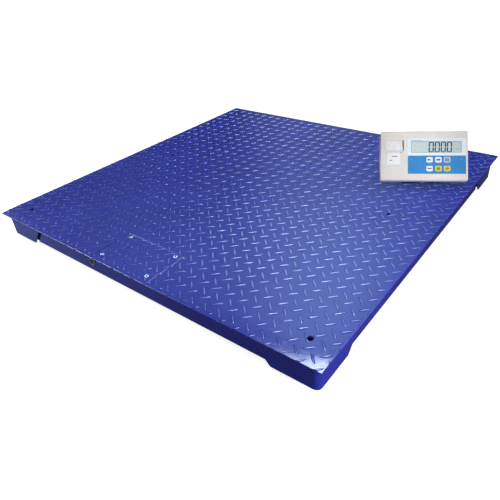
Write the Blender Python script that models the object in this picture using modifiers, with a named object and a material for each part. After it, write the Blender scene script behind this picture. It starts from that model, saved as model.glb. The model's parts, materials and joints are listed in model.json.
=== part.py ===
"""Low-profile platform scale with a tilting printer indicator standing on its deck.

World frame: origin on the floor under the centre of the deck, +Z up, front edge at -Y.
The indicator is drawn in a face frame: u to the right, v up the face, n out of the face.
"""
import math

import bmesh
import bpy
from mathutils import Matrix, Vector

# Platform, in metres.
GAP = 0.0003
DECK_SIDE = 1.200
DECK_TOP = 0.095
PLATE = 0.006
DECK_UNDER = DECK_TOP - PLATE
WELD_TOP = DECK_UNDER - GAP
HALF = DECK_SIDE / 2

POCKET_INSET = 0.012
POCKET_SHEET = 0.005
POCKET_BEND = 0.015
POCKET_BOTTOM = 0.017
POCKET_LEG_TOP = 0.186
POCKET_LEG_BOTTOM = 0.124
POCKET_FACE = HALF - POCKET_INSET

SKIRT_SHEET = 0.004
SKIRT_BOTTOM = 0.025
SKIRT_FACE = POCKET_FACE - POCKET_SHEET - GAP
SKIRT_INNER = SKIRT_FACE - SKIRT_SHEET
SKIRT_POCKET_GAP = 0.010

# Feet and load cells, placed from the foot's axis.
FOOT_AXIS = 0.532
ACCESS_HOLE_RADIUS = 0.007
LIFT_HOLE_X = 0.450
LIFT_HOLE_Y = 0.025
LIFT_HOLE_RADIUS = 0.0065

CELL_LENGTH = 0.130
CELL_WIDTH = 0.032
CELL_HEIGHT = 0.030
CELL_BEYOND_FOOT = 0.016
CELL_TOP = 0.0764
CELL_BOTTOM = CELL_TOP - CELL_HEIGHT
CELL_INNER_END = FOOT_AXIS + CELL_BEYOND_FOOT - CELL_LENGTH
CELL_GAUGE_RADIUS = 0.011
CELL_GAUGE_DEPTH = 0.008
CELL_GAUGE_X = FOOT_AXIS - 0.036
STUD_RADIUS = 0.0057
STUD_HOLE_RADIUS = 0.0060
STUD_OFFSETS = (0.0155, 0.0410)
NUT_RADIUS = 0.0095
NUT_HEIGHT = 0.007
MOUNT_PAD = 0.012

STEM_RADIUS = 0.0060
STEM_BORE = 0.0063
STEM_TOP = 0.0835
STEM_SOCKET = 0.0034
HEX_RADIUS = 0.0110
HEX_BOTTOM = 0.0385
HEX_HEIGHT = 0.007
BALL_RADIUS = 0.0065
BALL_Z = 0.0150
NECK_RADIUS = 0.0048
CUP_RADIUS = 0.0275
CUP_BOTTOM = 0.0055
PAD_RADIUS = 0.0300
PAD_LIP = 0.0085

# Under-deck channels.
CHANNEL_BOTTOM = 0.036
CHANNEL_WIDTH = 0.060
CHANNEL_SHEET = 0.004
CROSS_Y = 0.430
CROSS_HALF_LENGTH = 0.560
RUNNER_XS = (-0.440, -0.220, 0.0, 0.220, 0.440)

# Junction box hatch at the front edge.
HATCH_LEFT = -0.133
HATCH_RIGHT = 0.093
HATCH_BACK = -0.459
HATCH_SIDE_GAP = 0.0012
SCREW_XS = (-0.111, 0.071)
SCREW_YS = (-0.573, -0.472)
SCREW_TOP = 0.0937
SCREW_HEAD = 0.0062
SCREW_SHANK = 0.0030
SCREW_END = 0.0790
SCREW_PLAY = 0.0004
SCREW_SOCKET = 0.0023
SCREW_SOCKET_DEPTH = 0.0022
LEDGE_SHEET = 0.004
LEDGE_REACH = 0.037
LEDGE_BEHIND = 0.030

# Junction box and cables.
BOX_X = (-0.090, 0.050)
BOX_Y = (-0.570, -0.474)
BOX_Z = (0.0388, 0.0745)
BOX_WALL = 0.003
LID_THICK = 0.0037
BOARD_Z = 0.0500
BOARD_THICK = 0.0016
BOARD_MARGIN = 0.008
POST_MARGIN = 0.006
GLAND_RADIUS = 0.008
GLAND_LENGTH = 0.014
CABLE_RADIUS = 0.003
CABLE_Z = 0.0645
CABLE_LOW_Z = 0.031
CABLE_RUN_X = 0.330
SIGNAL_Z = 0.0575
LEFT_GLAND_YS = (-0.552, -0.524)
RIGHT_GLAND_YS = (-0.545, -0.510)
SIGNAL_GLAND_Y = -0.496
SOCKET_X = -0.157
SOCKET_FLANGE = 0.0120
SOCKET_BODY = 0.0106
SOCKET_MOUTH = 0.0095
SOCKET_WELL = 0.0080
SOCKET_DEPTH = 0.018

# Indicator: size, place and pose of its face.
FACE_WIDTH = 0.265
FACE_HEIGHT = 0.161
FACE_FOOT = Vector((0.475, 0.221, DECK_TOP + 0.030))
FACE_YAW = math.radians(29.6)
FACE_TILT = math.radians(40.0)
PIVOT_V = 0.085
PIVOT_N = -0.076
FRONT_DEPTH = 0.016
CASE_WALL = 0.0028
CASE_CORNER = 0.0055
CASE_EDGE = 0.0035
REAR_OUTLINE = ((-0.0163, 0.0020), (-0.0163, 0.1590), (-0.0580, 0.1500), (-0.0580, 0.0720))
REAR_HALF_WIDTH = 0.1315
REAR_SOCKET = (0.095, 0.120)

OVERLAY_U = (-0.0485, 0.1261)
OVERLAY_V = (0.0221, 0.1362)
OVERLAY_RECESS = 0.0010
OVERLAY_THICK = 0.0008
BOARD_N = (-0.0200, -0.0184)
DISPLAY_U = (-0.0390, 0.1134)
DISPLAY_V = (0.0898, 0.1272)
KEY_US = (0.0175, 0.0440, 0.0700)
KEY_VS = (0.0670, 0.0390)
KEY_SIZE = (0.0190, 0.0166)
KEY_PLAY = 0.0004
KEY_FLANGE = 0.0010
KEY_TOP = 0.0006
KEY_BACK = -0.0050
KEY_FLANGE_THICK = 0.0016

BAY_U = (-0.1156, -0.0610)
BAY_V = (0.0962, 0.1299)
SLOT_V = (0.0899, 0.0921)
DOOR_U = (-0.1150, -0.0656)
DOOR_V = (0.0968, 0.1290)
CHEEK_U = (-0.1155, -0.0651)
DOOR_N = (-0.0022, 0.0002)
DOOR_PIVOT_V = 0.1278
DOOR_PIVOT_N = -0.0010
ROLL_V = 0.1130
ROLL_N = -0.0225
ROLL_RADIUS = 0.0150
ROLL_CORE = 0.0048
SPINDLE_RADIUS = 0.0042
PLATEN_V = 0.0925
PLATEN_N = -0.0095
PLATEN_RADIUS = 0.0045
PLATEN_SHAFT = 0.0020
CHEEK = 0.0020
CHEEK_V = (0.086, 0.131)
CHEEK_N = (-0.040, -0.004)
TICKET_HALF_WIDTH = 0.0200
TICKET_U = -0.0920
TICKET_THICK = 0.00025
TICKET_PATH = (
    (-0.0085, 0.0873), (-0.0035, 0.0908), (-0.0005, 0.0912), (0.0008, 0.0903),
    (0.0009, 0.0870), (0.0009, 0.0600), (0.0016, 0.0530), (0.0035, 0.0500),
)

BOSS_HALF_WIDTH = 0.0575
BOSS_RADIUS = 0.010
EAR_INNER = 0.0580
EAR_OUTER = 0.0610
EAR_RADIUS = 0.013
EAR_BASE = (0.080, 0.146)
BASE_BACK = (0.052, 0.165)
BASE_SHEET = 0.003
KNOB_START = 0.0615
KNOB_END = 0.0775
KNOB_RADIUS = 0.0155
KNOB_LOBES = 8
KNOB_LOBE_DEPTH = 0.0009
KNOB_STUD = 0.0038
KNOB_STUD_HOLE = 0.0042
KNOB_STUD_REACH = 0.038

ROUND = 16
CORNERS = (("front_left", -1, -1), ("front_right", 1, -1), ("rear_left", -1, 1), ("rear_right", 1, 1))

PARTS = None
TOOLS = None
MATERIALS = {}


# ---------------------------------------------------------------- scene and objects
def start_scene():
    """Empty the scene and make one collection for the parts and one for the cutting tools."""
    global PARTS, TOOLS
    for old in list(bpy.data.objects):
        bpy.data.objects.remove(old, do_unlink=True)
    PARTS = bpy.data.collections.new("platform_scale")
    TOOLS = bpy.data.collections.new("tools")
    bpy.context.scene.collection.children.link(PARTS)
    bpy.context.scene.collection.children.link(TOOLS)


def material(name, colour, roughness, metallic=0.0):
    """A Principled material, made once for each name."""
    if name not in MATERIALS:
        made = bpy.data.materials.new(name)
        made.use_nodes = True
        shader = made.node_tree.nodes["Principled BSDF"]
        shader.inputs["Base Color"].default_value = (*colour, 1.0)
        shader.inputs["Roughness"].default_value = roughness
        shader.inputs["Metallic"].default_value = metallic
        MATERIALS[name] = made
    return MATERIALS[name]


def paint():
    return material("blue_paint", (0.045, 0.060, 0.330), 0.35)


def steel():
    return material("zinc_steel", (0.62, 0.63, 0.65), 0.35, 1.0)


def rubber():
    return material("rubber", (0.03, 0.03, 0.03), 0.8)


def grey_case():
    return material("case_plastic", (0.72, 0.71, 0.68), 0.5)


def black_plastic():
    return material("black_plastic", (0.02, 0.02, 0.02), 0.5)


def white_plastic():
    return material("white_plastic", (0.86, 0.86, 0.86), 0.4)


def circuit_green():
    return material("circuit_board", (0.03, 0.20, 0.08), 0.5)


def add_object(name, mesh, finish, origin=(0, 0, 0), parent=None):
    """Link a mesh as a part, with its origin at the given place in its parent's frame."""
    obj = bpy.data.objects.new(name, mesh)
    obj.location = origin
    obj.parent = parent
    mesh.materials.append(finish)
    PARTS.objects.link(obj)
    return obj


def as_tool(obj):
    """Turn a part into a cutting or joining tool that isn't part of the scale."""
    PARTS.objects.unlink(obj)
    TOOLS.objects.link(obj)
    obj.hide_render = True
    obj.display_type = "WIRE"
    return obj


def shade_round(obj, degrees=35):
    obj.data.shade_smooth()
    obj.data.set_sharp_from_angle(angle=math.radians(degrees))


def combine(target, tool, operation):
    """Cut or join with a Boolean modifier; the operand becomes a tool."""
    step = target.modifiers.new(tool.name, "BOOLEAN")
    step.object = as_tool(tool)
    step.operation = operation
    step.solver = "EXACT"
    return target


def cut(target, tool):
    return combine(target, tool, "DIFFERENCE")


def join(target, tool):
    return combine(target, tool, "UNION")


# ---------------------------------------------------------------- basic shapes
def mesh_from(bm, name):
    bmesh.ops.recalc_face_normals(bm, faces=bm.faces)
    mesh = bpy.data.meshes.new(name)
    bm.to_mesh(mesh)
    bm.free()
    return mesh


def box(name, x, y, z, finish, origin=(0, 0, 0), parent=None):
    """A box between pairs of x, y and z in the parent's frame."""
    size = Vector((x[1] - x[0], y[1] - y[0], z[1] - z[0]))
    middle = Vector((sum(x) / 2, sum(y) / 2, sum(z) / 2)) - Vector(origin)
    bm = bmesh.new()
    bmesh.ops.create_cube(bm, size=1.0, matrix=Matrix.Translation(middle) @ Matrix.Diagonal((*size, 1.0)))
    return add_object(name, mesh_from(bm, name), finish, origin, parent)


def along(axis):
    """Rotation that takes a tool's own Z axis to the named axis."""
    turns = {"X": Matrix.Rotation(math.pi / 2, 4, "Y"), "Y": Matrix.Rotation(-math.pi / 2, 4, "X")}
    return turns.get(axis, Matrix.Identity(4))


def rod(name, radius, start, length, axis, finish, segments=ROUND, origin=(0, 0, 0), parent=None):
    """A cylinder (or a prism, with few segments) from start, along an axis of the parent's frame."""
    direction = {"X": Vector((1, 0, 0)), "Y": Vector((0, 1, 0)), "Z": Vector((0, 0, 1))}[axis]
    middle = Vector(start) + direction * (length / 2) - Vector(origin)
    bm = bmesh.new()
    bmesh.ops.create_cone(
        bm, cap_ends=True, cap_tris=False, segments=segments, radius1=radius, radius2=radius,
        depth=abs(length), matrix=Matrix.Translation(middle) @ along(axis))
    obj = add_object(name, mesh_from(bm, name), finish, origin, parent)
    shade_round(obj)
    return obj


def turned(name, profile, finish, origin=(0, 0, 0), parent=None, segments=ROUND, axis="Z"):
    """A turned solid. The profile is (radius, height) points that run down its outer side."""
    mesh = bpy.data.meshes.new(name)
    points = [(radius, 0.0, height) for radius, height in profile]
    edges = [(i, i + 1) for i in range(len(points) - 1)]
    if profile[0][0] > 0:
        edges.append((len(points) - 1, 0))
    mesh.from_pydata(points, edges, [])
    obj = add_object(name, mesh, finish, origin, parent)
    screw = obj.modifiers.new("turn", "SCREW")
    screw.axis = "Z"
    screw.steps = segments
    screw.render_steps = segments
    screw.use_merge_vertices = True
    screw.merge_threshold = 0.00001
    screw.use_smooth_shade = True
    obj.rotation_euler = along(axis).to_euler()
    return obj


def prism(name, outline, low, high, axes, finish, origin=(0, 0, 0), parent=None):
    """A flat outline given in two axes of the parent's frame, filled and run along the third."""
    first, second, third = axes
    bm = bmesh.new()
    corners = []
    for a, b in outline:
        place = Vector((0, 0, 0))
        place[first], place[second], place[third] = a, b, low
        corners.append(bm.verts.new(place - Vector(origin)))
    face = bm.faces.new(corners)
    grown = bmesh.ops.extrude_face_region(bm, geom=[face])
    shift = Vector((0, 0, 0))
    shift[third] = high - low
    bmesh.ops.translate(bm, vec=shift, verts=[g for g in grown["geom"] if isinstance(g, bmesh.types.BMVert)])
    return add_object(name, mesh_from(bm, name), finish, origin, parent)


def arc(centre, radius, start, end, steps):
    """Points on a circle, with angles in degrees."""
    span = [math.radians(start + (end - start) * i / steps) for i in range(steps + 1)]
    return [(centre[0] + radius * math.cos(a), centre[1] + radius * math.sin(a)) for a in span]


def inset(outline, distances):
    """A convex outline with each side moved in by its own distance."""
    middle = Vector((sum(p[0] for p in outline), sum(p[1] for p in outline))) / len(outline)
    sides = []
    for i, corner in enumerate(outline):
        start, end = Vector(corner), Vector(outline[(i + 1) % len(outline)])
        normal = (end - start).orthogonal().normalized()
        if normal.dot(middle - start) < 0:
            normal = -normal
        sides.append((start + normal * distances[i], end - start))
    moved = []
    for i, (point, direction) in enumerate(sides):
        before, before_direction = sides[i - 1]
        turn = before_direction.cross(direction)
        reach = (point - before).cross(direction) / turn
        moved.append(tuple(before + before_direction * reach))
    return moved


# ---------------------------------------------------------------- deck and hatch
def hatch_screw_places():
    sides = ("left", "right")
    rows = ("front", "back")
    return [(f"{row}_{side}", x, y) for side, x in zip(sides, SCREW_XS) for row, y in zip(rows, SCREW_YS)]


def build_deck():
    deck = box("deck_plate", (-HALF, HALF), (-HALF, HALF), (DECK_UNDER, DECK_TOP), paint())
    cut(deck, box("hatch_opening", (HATCH_LEFT, HATCH_RIGHT), (-HALF - 0.02, HATCH_BACK),
                  (DECK_UNDER - 0.01, DECK_TOP + 0.01), paint()))
    for name, x, y in CORNERS:
        start = (x * FOOT_AXIS, y * FOOT_AXIS, DECK_UNDER - 0.01)
        cut(deck, rod(f"access_hole_{name}", ACCESS_HOLE_RADIUS, start, PLATE + 0.02, "Z", paint()))
    for side in (-1, 1):
        start = (side * LIFT_HOLE_X, LIFT_HOLE_Y, DECK_UNDER - 0.01)
        cut(deck, rod(f"lift_hole_{side}", LIFT_HOLE_RADIUS, start, PLATE + 0.02, "Z", paint()))


def screw_profile(play, top):
    """Countersunk head and shank, or the hole around them when play is given."""
    neck = SCREW_TOP - (SCREW_HEAD - SCREW_SHANK)
    profile = [(0, top), (SCREW_HEAD + play, top)]
    if top > SCREW_TOP:
        profile.append((SCREW_HEAD + play, SCREW_TOP - play))
    bottom = SCREW_END - 0.004 if play else SCREW_END
    return profile + [(SCREW_SHANK + play, neck - play), (SCREW_SHANK + play, bottom), (0, bottom)]


def build_hatch():
    cover = box("hatch_cover", (HATCH_LEFT + HATCH_SIDE_GAP, HATCH_RIGHT - HATCH_SIDE_GAP),
                (-HALF, HATCH_BACK - HATCH_SIDE_GAP), (DECK_UNDER, DECK_TOP), paint())
    for name, x, y in hatch_screw_places():
        hole_profile = screw_profile(SCREW_PLAY, DECK_TOP + 0.002)
        cut(cover, turned(f"screw_hole_{name}", hole_profile, steel(), (x, y, 0)))
        screw = turned(f"hatch_screw_{name}", screw_profile(0, SCREW_TOP), steel(), (x, y, 0))
        socket = (x, y, SCREW_TOP - SCREW_SOCKET_DEPTH)
        cut(screw, rod(f"screw_socket_{name}", SCREW_SOCKET, socket, 0.004, "Z", steel(), 6))


# ---------------------------------------------------------------- skirts and corner pockets
def skirt_outline():
    """Side view of a skirt: its ends slant as the pockets' ends do, a gap away from them."""
    top = POCKET_FACE - POCKET_LEG_TOP - SKIRT_POCKET_GAP
    slant = (POCKET_LEG_TOP - POCKET_LEG_BOTTOM) / (WELD_TOP - POCKET_BOTTOM)
    foot = top + slant * (WELD_TOP - SKIRT_BOTTOM)
    return [(-foot, SKIRT_BOTTOM), (foot, SKIRT_BOTTOM), (top, WELD_TOP), (-top, WELD_TOP)]


def build_skirts():
    outline = skirt_outline()
    front = prism("front_skirt", outline, -SKIRT_FACE, -SKIRT_INNER, (0, 2, 1), paint())
    hole_start = (SOCKET_X, -SKIRT_FACE - 0.01, SIGNAL_Z)
    cut(front, rod("socket_hole", SOCKET_BODY + GAP, hole_start, 0.03, "Y", paint()))
    prism("rear_skirt", outline, SKIRT_INNER, SKIRT_FACE, (0, 2, 1), paint())
    prism("left_skirt", outline, -SKIRT_FACE, -SKIRT_INNER, (1, 2, 0), paint())
    prism("right_skirt", outline, SKIRT_INNER, SKIRT_FACE, (1, 2, 0), paint())


def pocket_columns():
    """Plan of the pocket's outer face: (x, y at the top, x, y at the foot) from leg end to leg end."""
    middle = POCKET_FACE - POCKET_BEND
    bend = arc((middle, middle), POCKET_BEND, 0, 90, 6)
    top, foot = POCKET_FACE - POCKET_LEG_TOP, POCKET_FACE - POCKET_LEG_BOTTOM
    columns = [(POCKET_FACE, top, POCKET_FACE, foot)]
    columns += [(x, y, x, y) for x, y in bend]
    columns.append((top, POCKET_FACE, foot, POCKET_FACE))
    return columns


def build_pockets():
    """Bent corner plates with slanted ends, one mesh turned to each corner."""
    bm = bmesh.new()
    rows = []
    for x_top, y_top, x_foot, y_foot in pocket_columns():
        rows.append((bm.verts.new((x_top, y_top, WELD_TOP)), bm.verts.new((x_foot, y_foot, POCKET_BOTTOM))))
    for (top, foot), (next_top, next_foot) in zip(rows, rows[1:]):
        bm.faces.new((foot, next_foot, next_top, top))
    bm.normal_update()
    bm.faces.ensure_lookup_table()
    if bm.faces[0].normal.x < 0:
        bmesh.ops.reverse_faces(bm, faces=bm.faces)
    mesh = bpy.data.meshes.new("corner_pocket")
    bm.to_mesh(mesh)
    bm.free()
    mesh.materials.append(paint())
    for name, x, y in CORNERS:
        pocket = bpy.data.objects.new(f"corner_pocket_{name}", mesh)
        pocket.rotation_euler.z = math.atan2(y, x) - math.pi / 4
        PARTS.objects.link(pocket)
        wall = pocket.modifiers.new("sheet", "SOLIDIFY")
        wall.thickness = POCKET_SHEET
        wall.offset = -1.0
        wall.use_even_offset = True
        shade_round(pocket)


# ---------------------------------------------------------------- under-deck frame
def channel_boxes():
    """Outer and inner boxes of each channel: (name, outer x, outer y, inner x, inner y)."""
    wide, narrow = CHANNEL_WIDTH / 2, CHANNEL_WIDTH / 2 - CHANNEL_SHEET
    boxes = []
    for side in (-1, 1):
        outer_y = tuple(sorted((side * (CROSS_Y - wide), side * (CROSS_Y + wide))))
        inner_y = tuple(sorted((side * (CROSS_Y - narrow), side * (CROSS_Y + narrow))))
        outer_x = (-CROSS_HALF_LENGTH, CROSS_HALF_LENGTH)
        inner_x = (-CROSS_HALF_LENGTH - 0.01, CROSS_HALF_LENGTH + 0.01)
        boxes.append((f"cross_{side}", outer_x, outer_y, inner_x, inner_y))
    reach = CROSS_Y - wide
    for i, x in enumerate(RUNNER_XS):
        inner = (-reach - 0.0005, reach + 0.0005)
        boxes.append((f"runner_{i}", (x - wide, x + wide), (-reach - 0.002, reach + 0.002),
                      (x - narrow, x + narrow), inner))
    return boxes


def build_frame():
    """Welded channels, the load cells' mounting pads and studs, the hatch ledge and the box shelf."""
    boxes = channel_boxes()
    tall = (CHANNEL_BOTTOM, WELD_TOP)
    hollow = (CHANNEL_BOTTOM + CHANNEL_SHEET, WELD_TOP + 0.01)
    name, outer_x, outer_y, _, _ = boxes[0]
    frame = box("deck_frame", outer_x, outer_y, tall, paint())
    for name, outer_x, outer_y, _, _ in boxes[1:]:
        join(frame, box(f"outer_{name}", outer_x, outer_y, tall, paint()))
    for name, _, _, inner_x, inner_y in boxes:
        cut(frame, box(f"inner_{name}", inner_x, inner_y, hollow, paint()))
    for name, x, y in CORNERS:
        add_cell_mount(frame, name, x, y)
    add_hatch_ledge(frame)


def stud_places(x, y):
    return [(x * (CELL_INNER_END + offset), y * FOOT_AXIS) for offset in STUD_OFFSETS]


def add_cell_mount(frame, name, x, y):
    pad_x = tuple(sorted((x * (CELL_INNER_END - 0.003), x * (CELL_INNER_END + 0.055))))
    weld = CROSS_Y + CHANNEL_WIDTH / 2 - CHANNEL_SHEET + 0.001
    pad_y = tuple(sorted((y * weld, y * (FOOT_AXIS + 0.020))))
    pad_z = (CELL_TOP + GAP, CELL_TOP + GAP + MOUNT_PAD)
    join(frame, box(f"mount_pad_{name}", pad_x, pad_y, pad_z, paint()))
    nut_z = CELL_BOTTOM - GAP - NUT_HEIGHT
    for i, (stud_x, stud_y) in enumerate(stud_places(x, y)):
        stud_end = (stud_x, stud_y, nut_z - 0.0022)
        stud_length = CELL_TOP + 0.003 - stud_end[2]
        join(frame, rod(f"stud_{name}_{i}", STUD_RADIUS, stud_end, stud_length, "Z", paint(), 12))
        join(frame, rod(f"nut_{name}_{i}", NUT_RADIUS, (stud_x, stud_y, nut_z), NUT_HEIGHT, "Z", paint(), 6))


def add_hatch_ledge(frame):
    """Strips under the hatch that carry its screws, and the shelf that carries the junction box."""
    level = (WELD_TOP - LEDGE_SHEET, WELD_TOP)
    weld_y = -(CROSS_Y + CHANNEL_WIDTH / 2 - CHANNEL_SHEET + 0.001)
    front_y = -SKIRT_INNER + 0.0007
    left = (HATCH_LEFT - LEDGE_BEHIND, HATCH_LEFT + LEDGE_REACH)
    right = (HATCH_RIGHT - LEDGE_REACH, HATCH_RIGHT + LEDGE_BEHIND)
    join(frame, box("ledge_left", left, (front_y, weld_y), level, paint()))
    join(frame, box("ledge_right", right, (front_y, weld_y), level, paint()))
    join(frame, box("ledge_back", (left[0] + 0.01, right[1] - 0.01), (weld_y - 0.033, weld_y),
                    (level[0] + 0.0002, level[1] - 0.0002), paint()))
    join(frame, box("box_shelf", (BOX_X[0] + 0.005, BOX_X[1] - 0.005), (BOX_Y[0] - 0.002, weld_y),
                    (CHANNEL_BOTTOM, BOX_Z[0] - GAP), paint()))
    for name, x, y in hatch_screw_places():
        start = (x, y, level[0] - 0.01)
        cut(frame, rod(f"tapped_hole_{name}", SCREW_SHANK + GAP, start, 0.03, "Z", paint(), 12))


# ---------------------------------------------------------------- load cells and feet
def build_load_cell(name, x, y):
    """Shear-beam cell: bolted under the deck at its inner end, standing on its foot at the outer end."""
    span = tuple(sorted((x * CELL_INNER_END, x * (FOOT_AXIS + CELL_BEYOND_FOOT))))
    width = (y * FOOT_AXIS - CELL_WIDTH / 2, y * FOOT_AXIS + CELL_WIDTH / 2)
    cell = box(f"load_cell_{name}", span, width, (CELL_BOTTOM, CELL_TOP), steel())
    low = CELL_BOTTOM - 0.01
    through = CELL_HEIGHT + 0.02
    stem_place = (x * FOOT_AXIS, y * FOOT_AXIS, low)
    cut(cell, rod(f"stem_bore_{name}", STEM_BORE, stem_place, through, "Z", steel()))
    for i, (stud_x, stud_y) in enumerate(stud_places(x, y)):
        stud_place = (stud_x, stud_y, low)
        cut(cell, rod(f"stud_bore_{name}_{i}", STUD_HOLE_RADIUS, stud_place, through, "Z", steel(), 12))
    middle_z = (CELL_BOTTOM + CELL_TOP) / 2
    for side in (-1, 1):
        face = y * FOOT_AXIS + side * (CELL_WIDTH / 2 - CELL_GAUGE_DEPTH)
        start = (x * CELL_GAUGE_X, min(face, face + side * 0.02), middle_z)
        cut(cell, rod(f"gauge_pocket_{name}_{side}", CELL_GAUGE_RADIUS, start, 0.02, "Y", steel()))


def ball_arc(radius, opening, steps):
    """Lower part of a ball, from its opening down to the axis, as (radius, height) points."""
    start = math.degrees(math.acos(opening / radius))
    return arc((0, BALL_Z), radius, start, -90, steps)


def build_foot(name, x, y):
    place = (x * FOOT_AXIS, y * FOOT_AXIS, 0)
    stem_profile = [(0, STEM_TOP), (STEM_RADIUS - 0.0008, STEM_TOP), (STEM_RADIUS, STEM_TOP - 0.0008),
                    (STEM_RADIUS, 0.027), (NECK_RADIUS, 0.0255)]
    stem_profile += ball_arc(BALL_RADIUS, NECK_RADIUS, 7)
    stem_profile[-1] = (0, BALL_Z - BALL_RADIUS)
    stem = turned(f"foot_stem_{name}", stem_profile, steel(), place)
    hex_place = (place[0], place[1], HEX_BOTTOM)
    join(stem, rod(f"stem_hex_{name}", HEX_RADIUS, hex_place, HEX_HEIGHT, "Z", steel(), 6))
    socket_place = (place[0], place[1], STEM_TOP - 0.007)
    cut(stem, rod(f"stem_socket_{name}", STEM_SOCKET, socket_place, 0.01, "Z", steel(), 6))

    seat = ball_arc(BALL_RADIUS + GAP, 0.0053, 6)[::-1]
    seat[0] = (0, BALL_Z - BALL_RADIUS - GAP)
    rim = [(0.0064, 0.0206), (0.0090, 0.0212), (0.0125, 0.0200), (0.0170, 0.0150), (0.0265, 0.0117)]
    wall = [(CUP_RADIUS, 0.0105), (CUP_RADIUS, CUP_BOTTOM), (0, CUP_BOTTOM)]
    turned(f"foot_cup_{name}", seat + rim + wall, steel(), place)

    lip = CUP_RADIUS + GAP
    pad_floor = CUP_BOTTOM - GAP
    pad_profile = [(0, pad_floor), (lip, pad_floor), (lip, PAD_LIP), (PAD_RADIUS - 0.0008, PAD_LIP),
                   (PAD_RADIUS, PAD_LIP - 0.0008), (PAD_RADIUS, 0.001), (PAD_RADIUS - 0.001, 0), (0, 0)]
    turned(f"foot_pad_{name}", pad_profile, rubber(), place)


# ---------------------------------------------------------------- junction box and cables
def build_junction_box():
    base = box("junction_box", BOX_X, BOX_Y, BOX_Z, grey_case())
    inner_x = (BOX_X[0] + BOX_WALL, BOX_X[1] - BOX_WALL)
    inner_y = (BOX_Y[0] + BOX_WALL, BOX_Y[1] - BOX_WALL)
    cut(base, box("box_hollow", inner_x, inner_y, (BOX_Z[0] + BOX_WALL, BOX_Z[1] + 0.01), grey_case()))
    glands = [(BOX_X[0] - GLAND_LENGTH, y, CABLE_Z) for y in LEFT_GLAND_YS]
    glands.append((BOX_X[0] - GLAND_LENGTH, SIGNAL_GLAND_Y, SIGNAL_Z))
    glands += [(BOX_X[1] - 0.001, y, CABLE_Z) for y in RIGHT_GLAND_YS]
    for i, place in enumerate(glands):
        join(base, rod(f"gland_{i}", GLAND_RADIUS, place, GLAND_LENGTH + 0.001, "X", grey_case(), 12))
    box("junction_box_lid", BOX_X, BOX_Y, (BOX_Z[1] + GAP, BOX_Z[1] + GAP + LID_THICK), grey_case())
    board_x = (inner_x[0] + BOARD_MARGIN, inner_x[1] - BOARD_MARGIN)
    board_y = (inner_y[0] + BOARD_MARGIN, inner_y[1] - BOARD_MARGIN)
    box("summing_board", board_x, board_y, (BOARD_Z, BOARD_Z + BOARD_THICK), circuit_green())
    foot = BOX_Z[0] + BOX_WALL - 0.001
    for i, x in enumerate((board_x[0] + POST_MARGIN, board_x[1] - POST_MARGIN)):
        for k, y in enumerate((board_y[0] + POST_MARGIN, board_y[1] - POST_MARGIN)):
            height = BOARD_Z - GAP - foot
            join(base, rod(f"board_post_{i}_{k}", 0.003, (x, y, foot), height, "Z", grey_case(), 8))


def rounded_path(corners, radius, steps=3):
    """The corner points of a cable run with each inner corner rounded."""
    points = [Vector(corners[0])]
    for before, corner, after in zip(corners, corners[1:], corners[2:]):
        middle = Vector(corner)
        back, forth = Vector(before) - middle, Vector(after) - middle
        reach = min(radius, back.length * 0.45, forth.length * 0.45)
        start, end = middle + back.normalized() * reach, middle + forth.normalized() * reach
        for i in range(steps + 1):
            t = i / steps
            points.append(start.lerp(middle, t).lerp(middle.lerp(end, t), t))
    points.append(Vector(corners[-1]))
    return points


def cable(name, corners):
    points = rounded_path(corners, 0.020)
    curve = bpy.data.curves.new(name, "CURVE")
    curve.dimensions = "3D"
    curve.bevel_depth = CABLE_RADIUS
    curve.bevel_resolution = 1
    curve.use_fill_caps = True
    run = curve.splines.new("POLY")
    run.points.add(len(points) - 1)
    for knot, point in zip(run.points, points):
        knot.co = (*point, 1.0)
    curve.materials.append(black_plastic())
    PARTS.objects.link(bpy.data.objects.new(name, curve))


def build_cables():
    cell_end = CELL_INNER_END - 2 * GAP
    left_end = BOX_X[0] - GLAND_LENGTH - GAP
    right_end = BOX_X[1] + GLAND_LENGTH + GAP
    high, low = CROSS_Y + 0.065, CROSS_Y + 0.040
    sides = (("left", -1, left_end, LEFT_GLAND_YS), ("right", 1, right_end, RIGHT_GLAND_YS))
    for name, side, end, (near_y, far_y) in sides:
        cable(f"load_cell_cable_front_{name}", [
            (side * cell_end, -FOOT_AXIS, CABLE_Z), (side * 0.30, -FOOT_AXIS, CABLE_Z),
            (side * 0.20, near_y, CABLE_Z), (end, near_y, CABLE_Z)])
        run = side * CABLE_RUN_X
        cable(f"load_cell_cable_rear_{name}", [
            (side * cell_end, FOOT_AXIS, CABLE_Z), (run, FOOT_AXIS, CABLE_Z), (run, high, CABLE_Z),
            (run, low, CABLE_LOW_Z), (run, -low, CABLE_LOW_Z), (run, -high + 0.010, CABLE_Z),
            (run, far_y, CABLE_Z), (end, far_y, CABLE_Z)])
    socket_back = -SKIRT_FACE + SOCKET_DEPTH + GAP
    cable("signal_cable", [
        (SOCKET_X, socket_back, SIGNAL_Z), (SOCKET_X, SIGNAL_GLAND_Y, SIGNAL_Z),
        (left_end, SIGNAL_GLAND_Y, SIGNAL_Z)])


def socket_profile():
    """Round panel socket; height zero is the panel's outer face."""
    return [(0, -SOCKET_WELL), (SOCKET_MOUTH, -SOCKET_WELL), (SOCKET_MOUTH, 0.0030),
            (SOCKET_MOUTH + 0.0010, 0.0036), (SOCKET_FLANGE - 0.0008, 0.0030),
            (SOCKET_FLANGE, 0.0022), (SOCKET_FLANGE, GAP),
            (SOCKET_BODY, GAP), (SOCKET_BODY, -SOCKET_DEPTH), (0, -SOCKET_DEPTH)]


def build_signal_socket():
    socket = turned("signal_socket", socket_profile(), steel(), (SOCKET_X, -SKIRT_FACE, SIGNAL_Z))
    socket.rotation_euler = (math.pi / 2, 0, 0)


# ---------------------------------------------------------------- indicator
PIVOT = Vector((0, PIVOT_V, PIVOT_N))


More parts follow.
